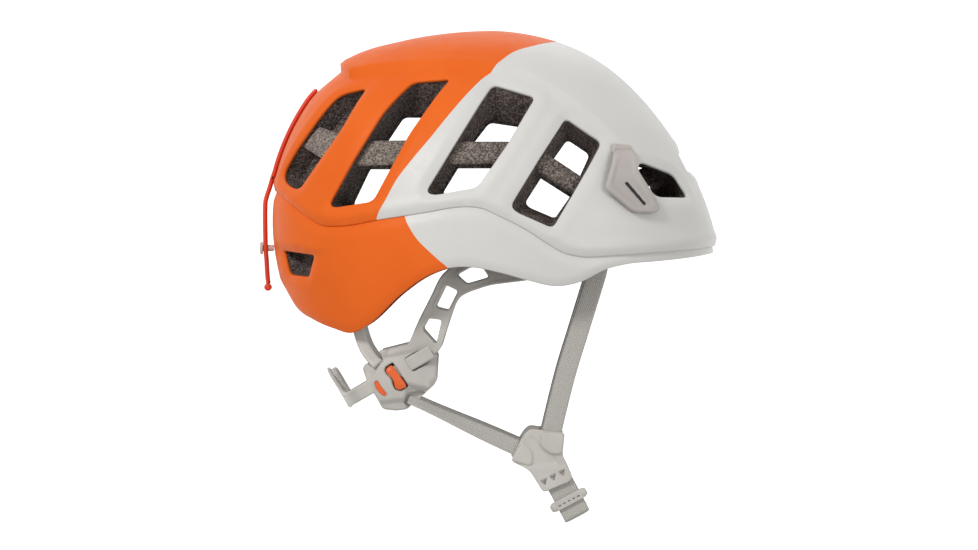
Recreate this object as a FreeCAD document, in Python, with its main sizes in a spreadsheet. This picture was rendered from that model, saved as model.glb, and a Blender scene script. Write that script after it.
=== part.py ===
import FreeCAD, Part
import math
import os

# Climbing helmet: two thin shells over a foam liner, a folding headband and a webbing harness.
# Frame: +X forward, +Y to the wearer's left, +Z up, origin at the centre of the head at
# headband height.  Millimetres.  Right-hand pieces are drawn, left-hand pieces are mirrored.

V = FreeCAD.Vector
doc = FreeCAD.newDocument("climbing_helmet")

SIZES = {
    "shell_length": 282.0, "shell_width": 214.0, "shell_height": 146.3,
    "skin": 1.3, "seam_step": 1.6, "seat_gap": 0.1,
    "foam_side": 25.0, "foam_end": 30.0, "foam_top": 26.0, "core_depth": 14.0,
    "recess_depth": 13.0, "rib_depth": 9.0,
    "band_plane": 72.0, "arm_plane": 68.6, "band_thick": 2.0, "strip_width": 8.6, "plate_height": 28.0,
    "arm_thick": 2.0, "housing_thick": 9.0, "channel_gap": 0.35,
    "pin_radius": 3.0, "pin_head": 5.5, "pin_play": 0.06,
    "hook_thick": 3.0, "hook_gap": 3.2, "elastic_thick": 3.0, "elastic_width": 8.0,
    "webbing_thick": 1.6, "front_width": 13.0, "rear_width": 9.8, "chin_width": 16.6,
    "yoke_thick": 3.0, "yoke_plane": 62.0, "keeper_height": 6.0, "keeper_depth": 6.4,
    "buckle_thick": 4.2, "buckle_length": 31.0, "magnet_radius": 5.0, "pad_thick": 4.0,
}

sheet = doc.addObject("Spreadsheet::Sheet", "sizes")
for row, (alias, value) in enumerate(SIZES.items(), start=1):
    sheet.set("A%d" % row, alias)
    sheet.set("B%d" % row, str(value))
    sheet.setAlias("B%d" % row, alias)
doc.recompute()


def size(alias):
    """The value of a driving dimension, read from the sheet."""
    return float(sheet.get(alias))


def bind(thing, **rules):
    """Bind properties of an object to expressions over the sheet."""
    for prop, rule in rules.items():
        thing.setExpression(prop, rule)


# ---------------------------------------------------------------- plain shapes

def feature(name, shape):
    """A sub-part whose shape comes straight from Part's own functions."""
    thing = doc.addObject("Part::Feature", name)
    thing.Shape = shape
    thing.Label = name
    return thing


def box(name, centre, axes, **rules):
    """A Part::Box centred at a point, its edges along three axes, its sizes bound to the sheet."""
    block = doc.addObject("Part::Box", name)
    block.Label = name
    bind(block, **rules)
    doc.recompute()
    along, across, normal = axes
    turn = FreeCAD.Rotation(along, across, normal, "XYZ")
    half = V(block.Length.Value / 2, block.Width.Value / 2, block.Height.Value / 2)
    block.Placement = FreeCAD.Placement(centre - turn.multVec(half), turn)
    return block


def boolean(kind, name, base, tool):
    """A Part::Cut or Part::Common of two objects."""
    made = doc.addObject("Part::" + kind, name)
    made.Base = base
    made.Tool = tool
    made.Label = name
    return made


def fuse(name, things):
    """One solid from several touching objects."""
    made = doc.addObject("Part::MultiFuse", name)
    made.Shapes = things
    made.Label = name
    return made


def mirrored(name, source):
    """The left-hand twin of a right-hand piece."""
    twin = doc.addObject("Part::Mirroring", name)
    twin.Source = source
    twin.Normal = V(0, 1, 0)
    twin.Label = name
    return twin


def rounded(corners, radius):
    """Lines and arcs of a closed outline whose corners are rounded."""
    points = [V(x, y, 0) for x, y in corners]
    count = len(points)
    ends = []
    for k in range(count):
        before, here, after = points[k - 1], points[k], points[(k + 1) % count]
        back = before - here
        ahead = after - here
        room = 0.45 * min(back.Length, ahead.Length)
        back.normalize()
        ahead.normalize()
        half = back.getAngle(ahead) / 2
        reach = min(room, radius / math.tan(half))
        bulge = reach * math.tan(half)
        middle = back + ahead
        middle.normalize()
        waist = here + middle * (bulge / math.sin(half) - bulge)
        ends.append((here + back * reach, waist, here + ahead * reach))
    pieces = []
    for k in range(count):
        start, waist, end = ends[k]
        pieces.append(Part.Arc(start, waist, end))
        pieces.append(Part.LineSegment(end, ends[(k + 1) % count][0]))
    return pieces


def plate(name, plane, thick, outline, radius=1.5, openings=()):
    """A flat plate parallel to the mid plane: its outer face at Y = -plane - thickness."""
    body = doc.addObject("PartDesign::Body", name + "_body")
    sketch = body.newObject("Sketcher::SketchObject", name + "_sketch")
    origin = [f for f in body.Origin.OriginFeatures if f.Role == "XZ_Plane"][0]
    sketch.AttachmentSupport = (origin, [""])
    sketch.MapMode = "FlatFace"
    sketch.addGeometry(rounded(outline, radius), False)
    for opening in openings:
        sketch.addGeometry(rounded(opening, radius), False)
    pad = body.newObject("PartDesign::Pad", name + "_pad")
    pad.Profile = sketch
    bind(pad, Length=thick)
    body.Placement.Base = V(0, -plane, 0)
    body.Label = name
    doc.recompute()
    return body


def prism(outline, y_from, y_to, radius=3.0):
    """A solid with the same outline all along Y, drawn in X and Z."""
    flat = Part.Wire([piece.toShape() for piece in rounded(outline, radius)])
    face = Part.Face(flat)
    face.rotate(V(), V(1, 0, 0), 90)
    face.translate(V(0, y_from, 0))
    return face.extrude(V(0, y_to - y_from, 0))


def above(points, top=190.0):
    """Everything above a smooth line drawn in X and Z, right across the helmet."""
    line = Part.BSplineCurve()
    line.interpolate([V(x, -140, z) for x, z in points])
    first = V(points[0][0], -140, points[0][1])
    last = V(points[-1][0], -140, points[-1][1])
    roof = [V(last.x, -140, top), V(first.x, -140, top)]
    edges = [line.toShape(), Part.makeLine(last, roof[0]), Part.makeLine(roof[0], roof[1]),
             Part.makeLine(roof[1], first)]
    return Part.Face(Part.Wire(edges)).extrude(V(0, 280, 0))


# ---------------------------------------------------------------- the dome

# Level slices of the outer surface: height, front reach, rear reach, half width, and the X of
# the widest place.
SLICES = [
    (146.0, 14, -2, 7, 6), (145.2, 22, -19, 18, 2), (142, 41, -36, 34, 2), (136, 57, -61, 50, -2),
    (127, 74, -87, 64, -6), (115, 90, -97, 77, -6), (98, 107, -108.5, 89, -6),
    (76, 123, -121.5, 98.5, -8), (50, 135, -130, 104.5, -10), (22, 147, -131, 107, -12),
    (-8, 151, -126.5, 106.5, -15), (-32, 150, -120, 102, -17), (-60, 148, -112, 96, -18),
]
FULLNESS = 2.1
RING_POINTS = 28
REFERENCE = (282.0, 214.0, 146.3)


def dome(inset_end, inset_side=None, inset_top=None):
    """The dome as a closed solid, drawn in by an inset at the ends, the sides and the top."""
    inset_side = inset_end if inset_side is None else inset_side
    inset_top = inset_end if inset_top is None else inset_top
    full = (size("shell_length"), size("shell_width"), size("shell_height"))
    scale = [full[0] / REFERENCE[0] * (1 - 2 * inset_end / full[0]),
             full[1] / REFERENCE[1] * (1 - 2 * inset_side / full[1]),
             full[2] / REFERENCE[2] * (1 - inset_top / full[2])]
    spacing = [k / RING_POINTS for k in range(RING_POINTS + 1)]
    rings = []
    for level, front, rear, half_width, centre in SLICES:
        ring = []
        for k in range(RING_POINTS):
            turn = 2 * math.pi * k / RING_POINTS
            c, s = math.cos(turn), math.sin(turn)
            reach = front - centre if c > 0 else centre - rear
            x = centre + reach * math.copysign(abs(c) ** (2 / FULLNESS), c)
            y = half_width * math.copysign(abs(s) ** (2 / FULLNESS), s)
            height = level if level < 0 else level * scale[2]
            ring.append(V(x * scale[0], y * scale[1], height))
        curve = Part.BSplineCurve()
        curve.interpolate(Points=ring, PeriodicFlag=True, Parameters=spacing)
        rings.append(Part.Wire(curve.toShape()))
    return Part.makeLoft(rings, True, False)


RIM = [(-150, -9), (-126, -12.5), (-116.5, -27), (-92.5, -39.5), (-80.5, -42), (-71.5, -37.5), (-49, -17.5),
       (-34.5, -7.5), (-18, -1.5), (-6.5, -1), (12.5, -4.5), (31, -9.5), (48.5, -13), (62, -10.5),
       (78.5, -2.5), (93, 1), (113, 3), (136.5, 6), (165, 12.5)]
SEAM = [(-150, 62), (-127.5, 44.5), (-111, 32.5), (-98, 25), (-62.5, 28.5), (-30.5, 33.5), (-7.5, 36.5),
        (12.5, 30), (37, 15), (57, 6), (85.5, 6.5), (111, 8.5), (136.5, 11), (165, 17)]

# Side vents that go right through: the opening in the shell and the opening in the liner's
# inner face, corner by corner.
VENTS = [
    ([(-41.5, 113), (-19, 114), (-43.5, 81), (-66, 38.5), (-91.5, 34.5), (-94.5, 37.5), (-79, 64.5),
      (-61, 94.5)],
     [(-48, 91), (-33.5, 91), (-40.5, 80), (-64.5, 38), (-74.5, 37), (-76.5, 38.5), (-65.5, 59), (-52, 80)]),
    ([(9, 110), (34.5, 102), (17.5, 74.5), (0, 47), (-30, 40.5), (-34, 43.5), (-15.5, 75.5)],
     [(6, 87), (25.5, 87), (17.5, 74.5), (0, 47), (-16.5, 43.5), (-20, 45), (0, 75.5)]),
    ([(55.5, 89.5), (75.5, 75), (47.5, 25), (43.5, 22.5), (22.5, 34), (21, 38), (37, 65.5)],
     [(55.5, 77), (68, 68.5), (47, 30), (43.5, 29), (32, 36.5), (31, 38.5), (44.5, 60)]),
]
FRONT_VENT = [(98, 64), (121.5, 55.5), (131.5, 41.5), (108, 41.5), (97.5, 58)]
REAR_VENT = [(-70, 107.5), (-86, 103.5), (-101, 86), (-120.5, 58.5), (-110.5, 46), (-86, 83)]
LOW_VENT = [(-123, 8.5), (-103.5, 4.5), (-106.5, -7.5), (-119.5, -1.5)]
RIBS = [
    [(-91, 79), (-25, 79), (-31, 60), (-98.5, 60)],
    [(-31, 78.5), (35, 78.5), (28.5, 63), (-35.5, 63)],
    [(31, 80), (68, 55), (59.5, 43.5), (26.5, 64.5)],
]
REAR_RIB = [(-101.5, 86), (-87, 81), (-97.5, 65.5), (-111.5, 75)]


def slanted(outer, inner, side):
    """A vent that narrows from the shell to the inside of the liner."""
    wires = []
    for outline, depth in ((outer, 116.0), (inner, 40.0)):
        wires.append(Part.makePolygon([V(x, side * depth, z) for x, z in outline + outline[:1]]))
    return Part.makeLoft(wires, True, True)


def right_cuts(bare):
    """The right-hand vents; with bare set, as cut in the shells, else as cut in the foam."""
    near, far = -30.0, -125.0
    cuts = []
    for (outer, inner), rib in zip(VENTS, RIBS):
        if bare:
            cuts.append(prism(outer, near, far))
        else:
            cuts.append(slanted(outer, inner, -1).cut(prism(rib, near, far, 1.0).common(rib_face)))
    cuts.append(prism(FRONT_VENT, near, far))
    rear = prism(REAR_VENT, near, far).cut(recess_face)
    if not bare:
        rear = rear.cut(prism(REAR_RIB, near, far, 1.0))
    cuts.append(rear)
    cuts.append(prism(LOW_VENT, -20.0, far, 2.0).cut(recess_face))
    return cuts


def both_sides(shapes):
    """The shapes and their mirror images in the mid plane."""
    return shapes + [shape.mirror(V(), V(0, 1, 0)) for shape in shapes]


def brow_vent():
    """The slot in the middle of the forehead."""
    slot = Part.makeBox(60, 44, 14, V(95, -22, 57.5))
    return slot.makeFillet(6.0, [e for e in slot.Edges if abs(e.tangentAt(e.FirstParameter).x) > 0.9])


above_rim = above(RIM)
above_seam = above(SEAM)
skin = size("skin")
step = size("seam_step")
gap = size("seat_gap")
rib_face = dome(size("rib_depth"))
recess_face = dome(size("recess_depth"))
shell_cuts = both_sides(right_cuts(True)) + [brow_vent()]
foam_cuts = both_sides(right_cuts(False)) + [brow_vent()]

# ---------------------------------------------------------------- anchors, pins and their seats

PIN_AT = V(51, 0, 4.5)
pin_face = size("arm_plane") + size("arm_thick") + 0.5
FRONT_ANCHOR = V(72, -76, 14.5)
REAR_ANCHOR = V(-76, -67.4, -6)
ACROSS = (V(1, 0, 0), V(0, 1, 0), V(0, 0, 1))


def pin_shank(radius, start, end):
    """A cylinder along Y through the temple pivot."""
    return Part.makeCylinder(radius, end - start, V(PIN_AT.x, -start, PIN_AT.z), V(0, -1, 0))


def anchor_block(centre):
    """A moulded clip that holds the end of a strap in the foam."""
    block = Part.makeBox(17, 4, 15, centre - V(8.5, 2, 7.5))
    return block.makeFillet(1.2, [e for e in block.Edges if abs(e.tangentAt(e.FirstParameter).y) > 0.9])


def strap_slot():
    """The passage in the rear lobe of the foam in which the rear strap moves up and down."""
    return Part.makeBox(34, 5.2, 50, V(-92, -70, -50))


pin_seat = pin_shank(size("pin_radius"), pin_face, pin_face + 12)
arm_relief = pin_shank(22.0, 50, pin_face)
front_block = anchor_block(FRONT_ANCHOR)
rear_block = anchor_block(REAR_ANCHOR)
seats = both_sides([pin_seat, arm_relief, front_block, rear_block, strap_slot()])
lodge_seat = Part.makeCylinder(2.6, 12, V(-138, 0, 10.6), V(1, 0, 0))

# ---------------------------------------------------------------- shells and foam

outer_face = dome(0)
under_skin = dome(skin)
upper_solid = outer_face.cut(under_skin).common(above_seam)
feature("upper_shell", upper_solid.cut(shell_cuts))

step_face = dome(step)
under_step = dome(step + skin)
below_seam = above_rim.cut(above_seam)
feature("lower_shell", step_face.cut(under_step).common(below_seam).cut(shell_cuts + [lodge_seat]))

cavity = dome(size("foam_end"), size("foam_side"), size("foam_top"))
core_region = dome(size("core_depth")).common(Part.makeBox(240, 240, 60, V(-120, -120, 96)))
foam_upper = dome(skin + gap).common(above_seam)
foam_lower = dome(step + skin + gap).common(below_seam)
foam = foam_upper.fuse(foam_lower).cut([cavity, core_region])
feature("foam_liner", foam.cut(foam_cuts + seats + [lodge_seat]))
feature("crown_core", core_region.cut([cavity] + foam_cuts))

for twin, block in (("front", front_block), ("rear", rear_block)):
    mirrored(twin + "_strap_anchor_left", feature(twin + "_strap_anchor_right", block))
head = pin_shank(size("pin_head"), size("arm_plane") - 2.2, size("arm_plane") - 0.3)
shank = pin_shank(size("pin_radius"), size("arm_plane") - 0.3, pin_face + 12)
mirrored("temple_pin_left", feature("temple_pin_right", head.fuse(shank)))

# ---------------------------------------------------------------- headlamp hooks and elastic

HOOK = [(84.5, 71.5), (77.5, 48), (79, 45.5), (95.5, 32.5), (108, 32), (112, 34), (109, 41.5),
        (98, 58.5), (98, 65), (96.5, 70)]
HOOK_FOOT = [(85.3, 75.9), (84.5, 72.5), (96.4, 70.9), (95.6, 73.8)]
tab_inner = dome(-size("hook_gap"))
tab_outer = dome(-size("hook_gap") - size("hook_thick"))
tab = prism(HOOK, -40, -125, 1.5).common(tab_outer).cut(tab_inner)
mirrored("front_hook_left", feature("front_hook_right", tab))
foot = prism(HOOK_FOOT, -40, -125, 0.5).common(tab_outer).cut(outer_face)
mirrored("hook_foot_left", feature("hook_foot_right", foot))

BAND_TOP = [(-97, 110.5), (-110, 98), (-122, 79.5), (-130.5, 61), (-133.2, 52.6)]
TAIL = [(-133.4, 51.6), (-135.2, 42), (-135.7, 30), (-135.4, 10), (-134.9, 4), (-134.6, -8)]


def elastic(outer_line):
    """A flat elastic band that follows the back of the helmet."""
    thick, width = size("elastic_thick"), size("elastic_width")
    outer_curve = Part.BSplineCurve()
    outer_curve.interpolate([V(x, -width / 2, z) for x, z in outer_line])
    inner_curve = Part.BSplineCurve()
    inner_points = []
    for x, z in outer_line:
        spot = outer_curve.parameter(V(x, -width / 2, z))
        along = outer_curve.tangent(spot)[0]
        inner_points.append(V(x, -width / 2, z) + V(-along.z, 0, along.x) * thick)
    inner_curve.interpolate(inner_points)
    first, last = outer_curve.StartPoint, outer_curve.EndPoint
    edges = [outer_curve.toShape(), Part.makeLine(last, inner_points[-1]), inner_curve.toShape(),
             Part.makeLine(inner_points[0], first)]
    return Part.Face(Part.Wire(Part.__sortEdges__(edges))).extrude(V(0, width, 0))


feature("rear_elastic", elastic(BAND_TOP).cut(outer_face))
bulb = Part.makeCylinder(2.4, 8, V(-132.4, -4, -14.0), V(0, 1, 0))
neck = Part.makeBox(2.0, 8, 7.5, V(-133.6, -4, -14.5))
stud_hole = Part.makeCylinder(2.0, 12, V(-140, 0, 10.6), V(1, 0, 0))
tail = elastic(TAIL).fuse([bulb, neck])
feature("elastic_tail", tail.cut(stud_hole))
stud_head = Part.makeCylinder(4.0, 1.85, V(-137.6, 0, 10.6), V(1, 0, 0))
stud_shank = Part.makeCylinder(2.0, 7.2, V(-135.9, 0, 10.6), V(1, 0, 0))
feature("elastic_stud", stud_head.fuse(stud_shank))

# ---------------------------------------------------------------- headband

# The size adjuster works along one slanted direction, seen from the side.
SLIDE = V(0.863, 0, 0.505)
LIFT = V(-0.505, 0, 0.863)
STRIP_END = V(-30, 0, -53.3)
SLANTED = (SLIDE, V(0, 1, 0), LIFT)
slant = FreeCAD.Rotation(SLIDE, V(0, 1, 0), LIFT, "XYZ")

ARM = [(-59.5, -48.5), (-44.5, -46), (-37.5, -33.5), (-30.5, -20), (-24.5, -7), (-18.5, -1.5), (-6.5, 8.5),
       (20.5, 12.5), (49, 13), (59.5, 9.5), (59.5, -1), (49, -5.5), (30.5, -9.5), (6, -12.5), (-8.5, -17.5),
       (-14, -21.5), (-17, -29.5), (-20.5, -40), (-24.5, -53.5), (-41.5, -61.5)]
ARM_WINDOWS = [
    [(-35.5, -39.5), (-31.5, -33), (-23.5, -34), (-27, -49)],
    [(-27.5, -26), (-21, -12.5), (-13.5, -16), (-19.5, -28)],
    [(-14, -6), (-6, -1.5), (1.5, -1.5), (5.5, -7.5), (-8, -11.5)],
]
arm_plane = size("arm_plane")
arm_blank = plate("arm_blank", arm_plane, "sizes.arm_thick", ARM, 2.0, ARM_WINDOWS)
arm_hole = feature("arm_hole", pin_shank(size("pin_radius") + size("pin_play"), 60, 90))
mirrored("ladder_arm_left", boolean("Cut", "ladder_arm_right", arm_blank, arm_hole))

HOUSING = [(-63, -53), (-43, -48), (-26, -54.5), (-27, -73), (-37, -82), (-42, -86),
           (-44.5, -89), (-51.5, -90), (-60, -89), (-63, -83), (-69, -73.5), (-72.5, -63.5),
           (-70, -60), (-65, -63.5), (-59, -58.5)]
housing_blank = plate("housing_blank", arm_plane, "sizes.housing_thick", HOUSING, 1.6)
doc.recompute()


def local(point, along, lift, plane):
    """A point of the right-hand adjuster: along the slide and square to it, from the strip's end."""
    return point + SLIDE * along + LIFT * lift + V(0, -plane, 0)


band_plane = size("band_plane")
channel = box("channel", local(STRIP_END, -30, 0, band_plane), SLANTED, Length="140",
              Width="sizes.band_thick + 2 * sizes.channel_gap",
              Height="sizes.strip_width + 2 * sizes.channel_gap")
BUTTON_AT = V(-51.1, 0, -69)
window = box("window", local(BUTTON_AT, 0.6, 0, band_plane + 3.9), SLANTED, Length="8.6",
             Width="5.6", Height="16.6")
crescent = box("crescent_pocket", local(BUTTON_AT, -13.2, 1.0, band_plane + 4.6), SLANTED,
               Length="3.4", Width="2.4", Height="10.5")
strip_window = box("strip_window", local(STRIP_END, -3.5, 0, band_plane + 4.2), SLANTED, Length="21",
                   Width="7.0", Height="sizes.strip_width + 2 * sizes.channel_gap")
arm_pocket = feature("arm_pocket", prism(ARM, -arm_plane + 1, -arm_plane - size("arm_thick") - 0.1, 2.0))
cutters = fuse("housing_cutters", [channel, window, crescent, strip_window, arm_pocket])
mirrored("adjuster_housing_left", boolean("Cut", "adjuster_housing_right", housing_blank, cutters))

button = box("latch_button_right", local(BUTTON_AT, -0.75, 0, band_plane + 4.0), SLANTED,
             Length="5.4", Width="5.0", Height="15.8")
mirrored("latch_button_left", button)
insert = box("latch_spring_right", local(BUTTON_AT, -13.2, 1.0, band_plane + 4.35), SLANTED,
             Length="3.2", Width="1.7", Height="10.3")
mirrored("latch_spring_left", insert)


def plan_wall(plan, thick):
    """The nape band seen along its own height: a curved face between two smooth lines."""
    path = [V(u, -y, 0) for u, y in plan]
    path += [V(spot.x, -spot.y, 0) for spot in reversed(path[:-1])]
    outer_curve = Part.BSplineCurve()
    outer_curve.interpolate(Points=path)
    inner_path = []
    for spot in path:
        along = outer_curve.tangent(outer_curve.parameter(spot))[0]
        inner_path.append(spot + V(along.y, -along.x, 0) * thick)
    inner_path[0] = path[0] + V(0, thick, 0)
    inner_path[-1] = path[-1] - V(0, thick, 0)
    inner_curve = Part.BSplineCurve()
    inner_curve.interpolate(Points=inner_path)
    edges = [outer_curve.toShape(), Part.makeLine(path[-1], inner_path[-1]), inner_curve.toShape(),
             Part.makeLine(inner_path[0], path[0])]
    return Part.Face(Part.Wire(Part.__sortEdges__(edges)))


STRAIGHT_END = -38.0
NAPE_PLAN = [(STRAIGHT_END, 73), (-43, 73), (-48, 72.8), (-54, 70), (-58.5, 61), (-61.2, 42), (-62.3, 21),
             (-62.6, 0)]
strip_half = size("strip_width") / 2
tall = size("plate_height")
wall = plan_wall(NAPE_PLAN, size("band_thick")).extrude(V(0, 0, 60))
wall.translate(V(0, 0, -30))
side_view = [(-80, -strip_half), (0, -strip_half - 1), (80, -strip_half), (80, strip_half),
             (58, strip_half), (38, strip_half + 4), (24, tall - strip_half - 3),
             (0, tall - strip_half), (-24, tall - strip_half - 3), (-38, strip_half + 4),
             (-58, strip_half), (-80, strip_half)]
profile = Part.Wire([piece.toShape() for piece in rounded(side_view, 4.0)])
profile.Placement = FreeCAD.Placement(V(-90, 0, 0), FreeCAD.Rotation(V(0, 1, 0), V(0, 0, 1),
                                                                       V(1, 0, 0), "XYZ"))
profile_solid = Part.Face(profile).extrude(V(90, 0, 0))
straight = Part.makeBox(-STRAIGHT_END, size("band_thick"), size("strip_width"),
                        V(STRAIGHT_END, -band_plane - 1, -strip_half))
band = wall.common(profile_solid).fuse([straight, straight.mirror(V(), V(0, 1, 0))])
band.Placement = FreeCAD.Placement(STRIP_END, slant)
feature("nape_band", band)

pad_block = Part.makeBox(size("pad_thick"), 50, tall - 6, V(-59.4, -25, -strip_half + 3))
pad_block = pad_block.makeFillet(1.8, pad_block.Edges)
pad_block.Placement = FreeCAD.Placement(STRIP_END, slant)
feature("nape_pad", pad_block)

# ---------------------------------------------------------------- harness

yoke_plane = size("yoke_plane")


def strap(name, start, end, width_rule, thick_rule="sizes.webbing_thick"):
    """A straight run of webbing between two points, its width lying as nearly fore and aft as it can."""
    along = end - start
    middle = (start + end) * 0.5
    normal = along.cross(V(0, 0, 1)).cross(along) if abs(along.y) > abs(along.z) else V(0, 1, 0)
    across = normal.cross(along)
    across.normalize()
    normal = along.cross(across)
    along_unit = V(along)
    along_unit.normalize()
    normal.normalize()
    return box(name, middle, (along_unit, across, normal), Length="%.3f" % along.Length,
               Width=width_rule, Height=thick_rule)


rear_upper = strap("rear_strap_right", V(-75.1, -67.4, -35.8), V(-63.8, -67.4, -62.4),
                   "sizes.front_width - 1")
mirrored("rear_strap_left", rear_upper)
front = strap("front_strap_right", V(71.1, -67, -10.3), V(43.5, -60.3, -108.3), "sizes.front_width")
mirrored("front_strap_left", front)
lower = strap("rear_webbing_right", V(-38.7, -72, -87.8), V(26, -60.3, -114), "sizes.rear_width")
mirrored("rear_webbing_left", lower)

YOKE = [(19, -121), (25, -108), (28, -103.5), (31, -101), (52.5, -103.5), (51, -117.5),
        (57, -130), (56, -133.5), (40.5, -140), (38.5, -139.5), (31, -127.5), (29, -126)]
YOKE_HOLES = [
    [(37.3, -133.6), (41.4, -131.5), (40.5, -136.1)],
    [(42.9, -130.6), (46.8, -128.7), (46, -133.3)],
    [(48.5, -127.9), (52.3, -126.1), (51.7, -130.4)],
]
yoke = plate("yoke_right", yoke_plane, "sizes.yoke_thick", YOKE, 1.0, YOKE_HOLES)
mirrored("yoke_left", yoke)

FOLD = V(60.5, 0, -155.8)
STUB_TOP = V(49.4, 0, -135)
DOWN = FOLD - STUB_TOP
DOWN.normalize()
ASIDE = V(-DOWN.z, 0, DOWN.x)
stub_plane = yoke_plane - 1.0
stub = strap("chin_tail_right", STUB_TOP - V(0, stub_plane, 0), FOLD - V(0, stub_plane, 0) - DOWN * 1.6,
             "sizes.chin_width")
mirrored("chin_tail_left", stub)

ring_centre = STUB_TOP + DOWN * 11.5 - V(0, stub_plane, 0)
ring_axes = (ASIDE, V(0, 1, 0), DOWN.negative())
ring_outer = box("keeper_blank", ring_centre, ring_axes, Length="sizes.chin_width + 5",
                 Width="sizes.keeper_depth", Height="sizes.keeper_height")
ring_slot = box("keeper_slot", ring_centre, ring_axes, Length="sizes.chin_width + 0.8",
                Width="sizes.webbing_thick + 0.8", Height="sizes.keeper_height + 4")
boolean("Cut", "strap_keeper", ring_outer, ring_slot)

# The chin strap crosses from side to side; its two halves meet in a magnetic buckle whose lower
# plate belongs to the right half.
chin_level = FOLD - DOWN * 0.8
half_span = yoke_plane - 3.5
BUCKLE_Y = 28.0
buckle_half = size("buckle_length") / 2
buckle_point = chin_level + V(0, BUCKLE_Y, 0) - DOWN * 1.5


def chin_axes():
    """Along the crossing, across the webbing and square to it."""
    return (V(0, 1, 0), ASIDE, V(0, 1, 0).cross(ASIDE))


chin_normal = V(0, 1, 0).cross(ASIDE)
down_side = -1 if chin_normal.z > 0 else 1
plate_drop = chin_normal * (down_side * (size("buckle_thick") + 0.4) / 2)
right_start = chin_level + V(0, -half_span, 0)
right_end = buckle_point + V(0, -buckle_half - 0.3, 0)
left_start = chin_level + V(0, half_span, 0)
left_end = buckle_point + V(0, buckle_half + 1.6, 0.4)


def chin_run(name, start, end):
    """Half of the chin strap, nearly level."""
    along = end - start
    length = along.Length
    along.normalize()
    return box(name, (start + end) * 0.5, (along, ASIDE, along.cross(ASIDE)),
               Length="%.3f" % length, Width="sizes.chin_width", Height="sizes.webbing_thick")


chin_run("chin_strap_right", right_start, right_end)
chin_run("chin_strap_left", left_start, left_end)
for name, sense in (("buckle_male", 1), ("buckle_female", -1)):
    shell = box(name + "_blank", buckle_point + plate_drop * sense, chin_axes(),
                Length="sizes.buckle_length", Width="sizes.chin_width + 2.4",
                Height="sizes.buckle_thick")
    disc = Part.makeCylinder(size("magnet_radius"), 2.2, V(0, 0, -1.1), V(0, 0, 1))
    turn = FreeCAD.Rotation(chin_axes()[0], chin_axes()[1], chin_axes()[2], "XYZ")
    disc.Placement = FreeCAD.Placement(buckle_point + plate_drop * sense, turn)
    magnet = feature(name + "_magnet", disc)
    boolean("Cut", name, shell, magnet)

# ---------------------------------------------------------------- comfort pads

inner_wall = dome(size("foam_end") + 0.2, size("foam_side") + 0.2, size("foam_top") + 0.2)
pad_face = dome(size("foam_end") + size("pad_thick"), size("foam_side") + size("pad_thick"),
                size("foam_top") + size("pad_thick"))
pad_layer = inner_wall.cut(pad_face)
brow = Part.makeBox(70, 120, 26, V(62, -60, 8))
brow = brow.makeFillet(6.0, [e for e in brow.Edges if abs(e.tangentAt(e.FirstParameter).x) > 0.9])
feature("forehead_pad", pad_layer.common(brow))
crown_front = Part.makeBox(34, 60, 60, V(20, -30, 80))
crown_rear = Part.makeBox(34, 60, 60, V(-62, -30, 80))
feature("crown_pad_front", pad_layer.common(crown_front))
feature("crown_pad_rear", pad_layer.common(crown_rear))

# ---------------------------------------------------------------- checks and files

RIGHT_AND_LEFT = ("temple_pin", "front_strap_anchor", "rear_strap_anchor", "front_hook", "hook_foot",
                  "ladder_arm", "adjuster_housing", "latch_button", "latch_spring", "rear_strap",
                  "front_strap", "rear_webbing", "yoke", "chin_tail", "chin_strap")
SINGLE = ("upper_shell", "lower_shell", "foam_liner", "crown_core", "rear_elastic", "elastic_tail",
          "elastic_stud", "nape_band", "nape_pad", "strap_keeper", "buckle_male", "buckle_female",
          "buckle_male_magnet", "buckle_female_magnet", "forehead_pad", "crown_pad_front",
          "crown_pad_rear")

doc.recompute()
for thing in doc.Objects:
    if "Invalid" in thing.State or "Error" in thing.State:
        raise RuntimeError("failed: " + thing.Name)

nodes = list(SINGLE) + [name + side for name in RIGHT_AND_LEFT for side in ("_right", "_left")]
os.makedirs("parts", exist_ok=True)
for node in nodes:
    thing = doc.getObjectsByLabel(node)[0]
    shape = thing.Shape
    if shape.isNull() or not shape.isValid():
        raise RuntimeError("bad shape: " + node)
    shape.exportStep("parts/%s.step" % node)
    print(node, len(shape.Solids), round(shape.Volume, 1), shape.BoundBox)
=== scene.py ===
import math

import bmesh
import bpy
import numpy as np
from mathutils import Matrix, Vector
from mathutils.geometry import delaunay_2d_cdt


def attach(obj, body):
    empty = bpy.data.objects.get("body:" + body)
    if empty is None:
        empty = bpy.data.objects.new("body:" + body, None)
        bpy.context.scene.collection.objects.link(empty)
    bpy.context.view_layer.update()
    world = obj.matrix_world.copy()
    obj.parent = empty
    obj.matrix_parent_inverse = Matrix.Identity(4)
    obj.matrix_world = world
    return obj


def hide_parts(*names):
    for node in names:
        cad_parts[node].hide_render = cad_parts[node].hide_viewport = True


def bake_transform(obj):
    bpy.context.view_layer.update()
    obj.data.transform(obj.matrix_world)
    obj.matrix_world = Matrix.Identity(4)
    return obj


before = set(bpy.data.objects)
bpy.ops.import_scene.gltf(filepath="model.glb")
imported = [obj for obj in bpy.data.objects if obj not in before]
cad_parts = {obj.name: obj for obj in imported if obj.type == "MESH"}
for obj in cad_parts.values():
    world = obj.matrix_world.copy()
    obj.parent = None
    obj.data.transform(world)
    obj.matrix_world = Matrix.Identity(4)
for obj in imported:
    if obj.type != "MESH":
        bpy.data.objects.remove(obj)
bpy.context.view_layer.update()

# Climbing helmet, seen from its right.  The frame is the CAD model's: +X forward, +Y to the
# wearer's left, +Z up, metres.  Outlines below are in millimetres, as in the design.

MM = 0.001
RIGHT, LEFT = -1, 1
WORD = {RIGHT: "right", LEFT: "left"}

# ------------------------------------------------------------------ camera, lights and backdrop

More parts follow.
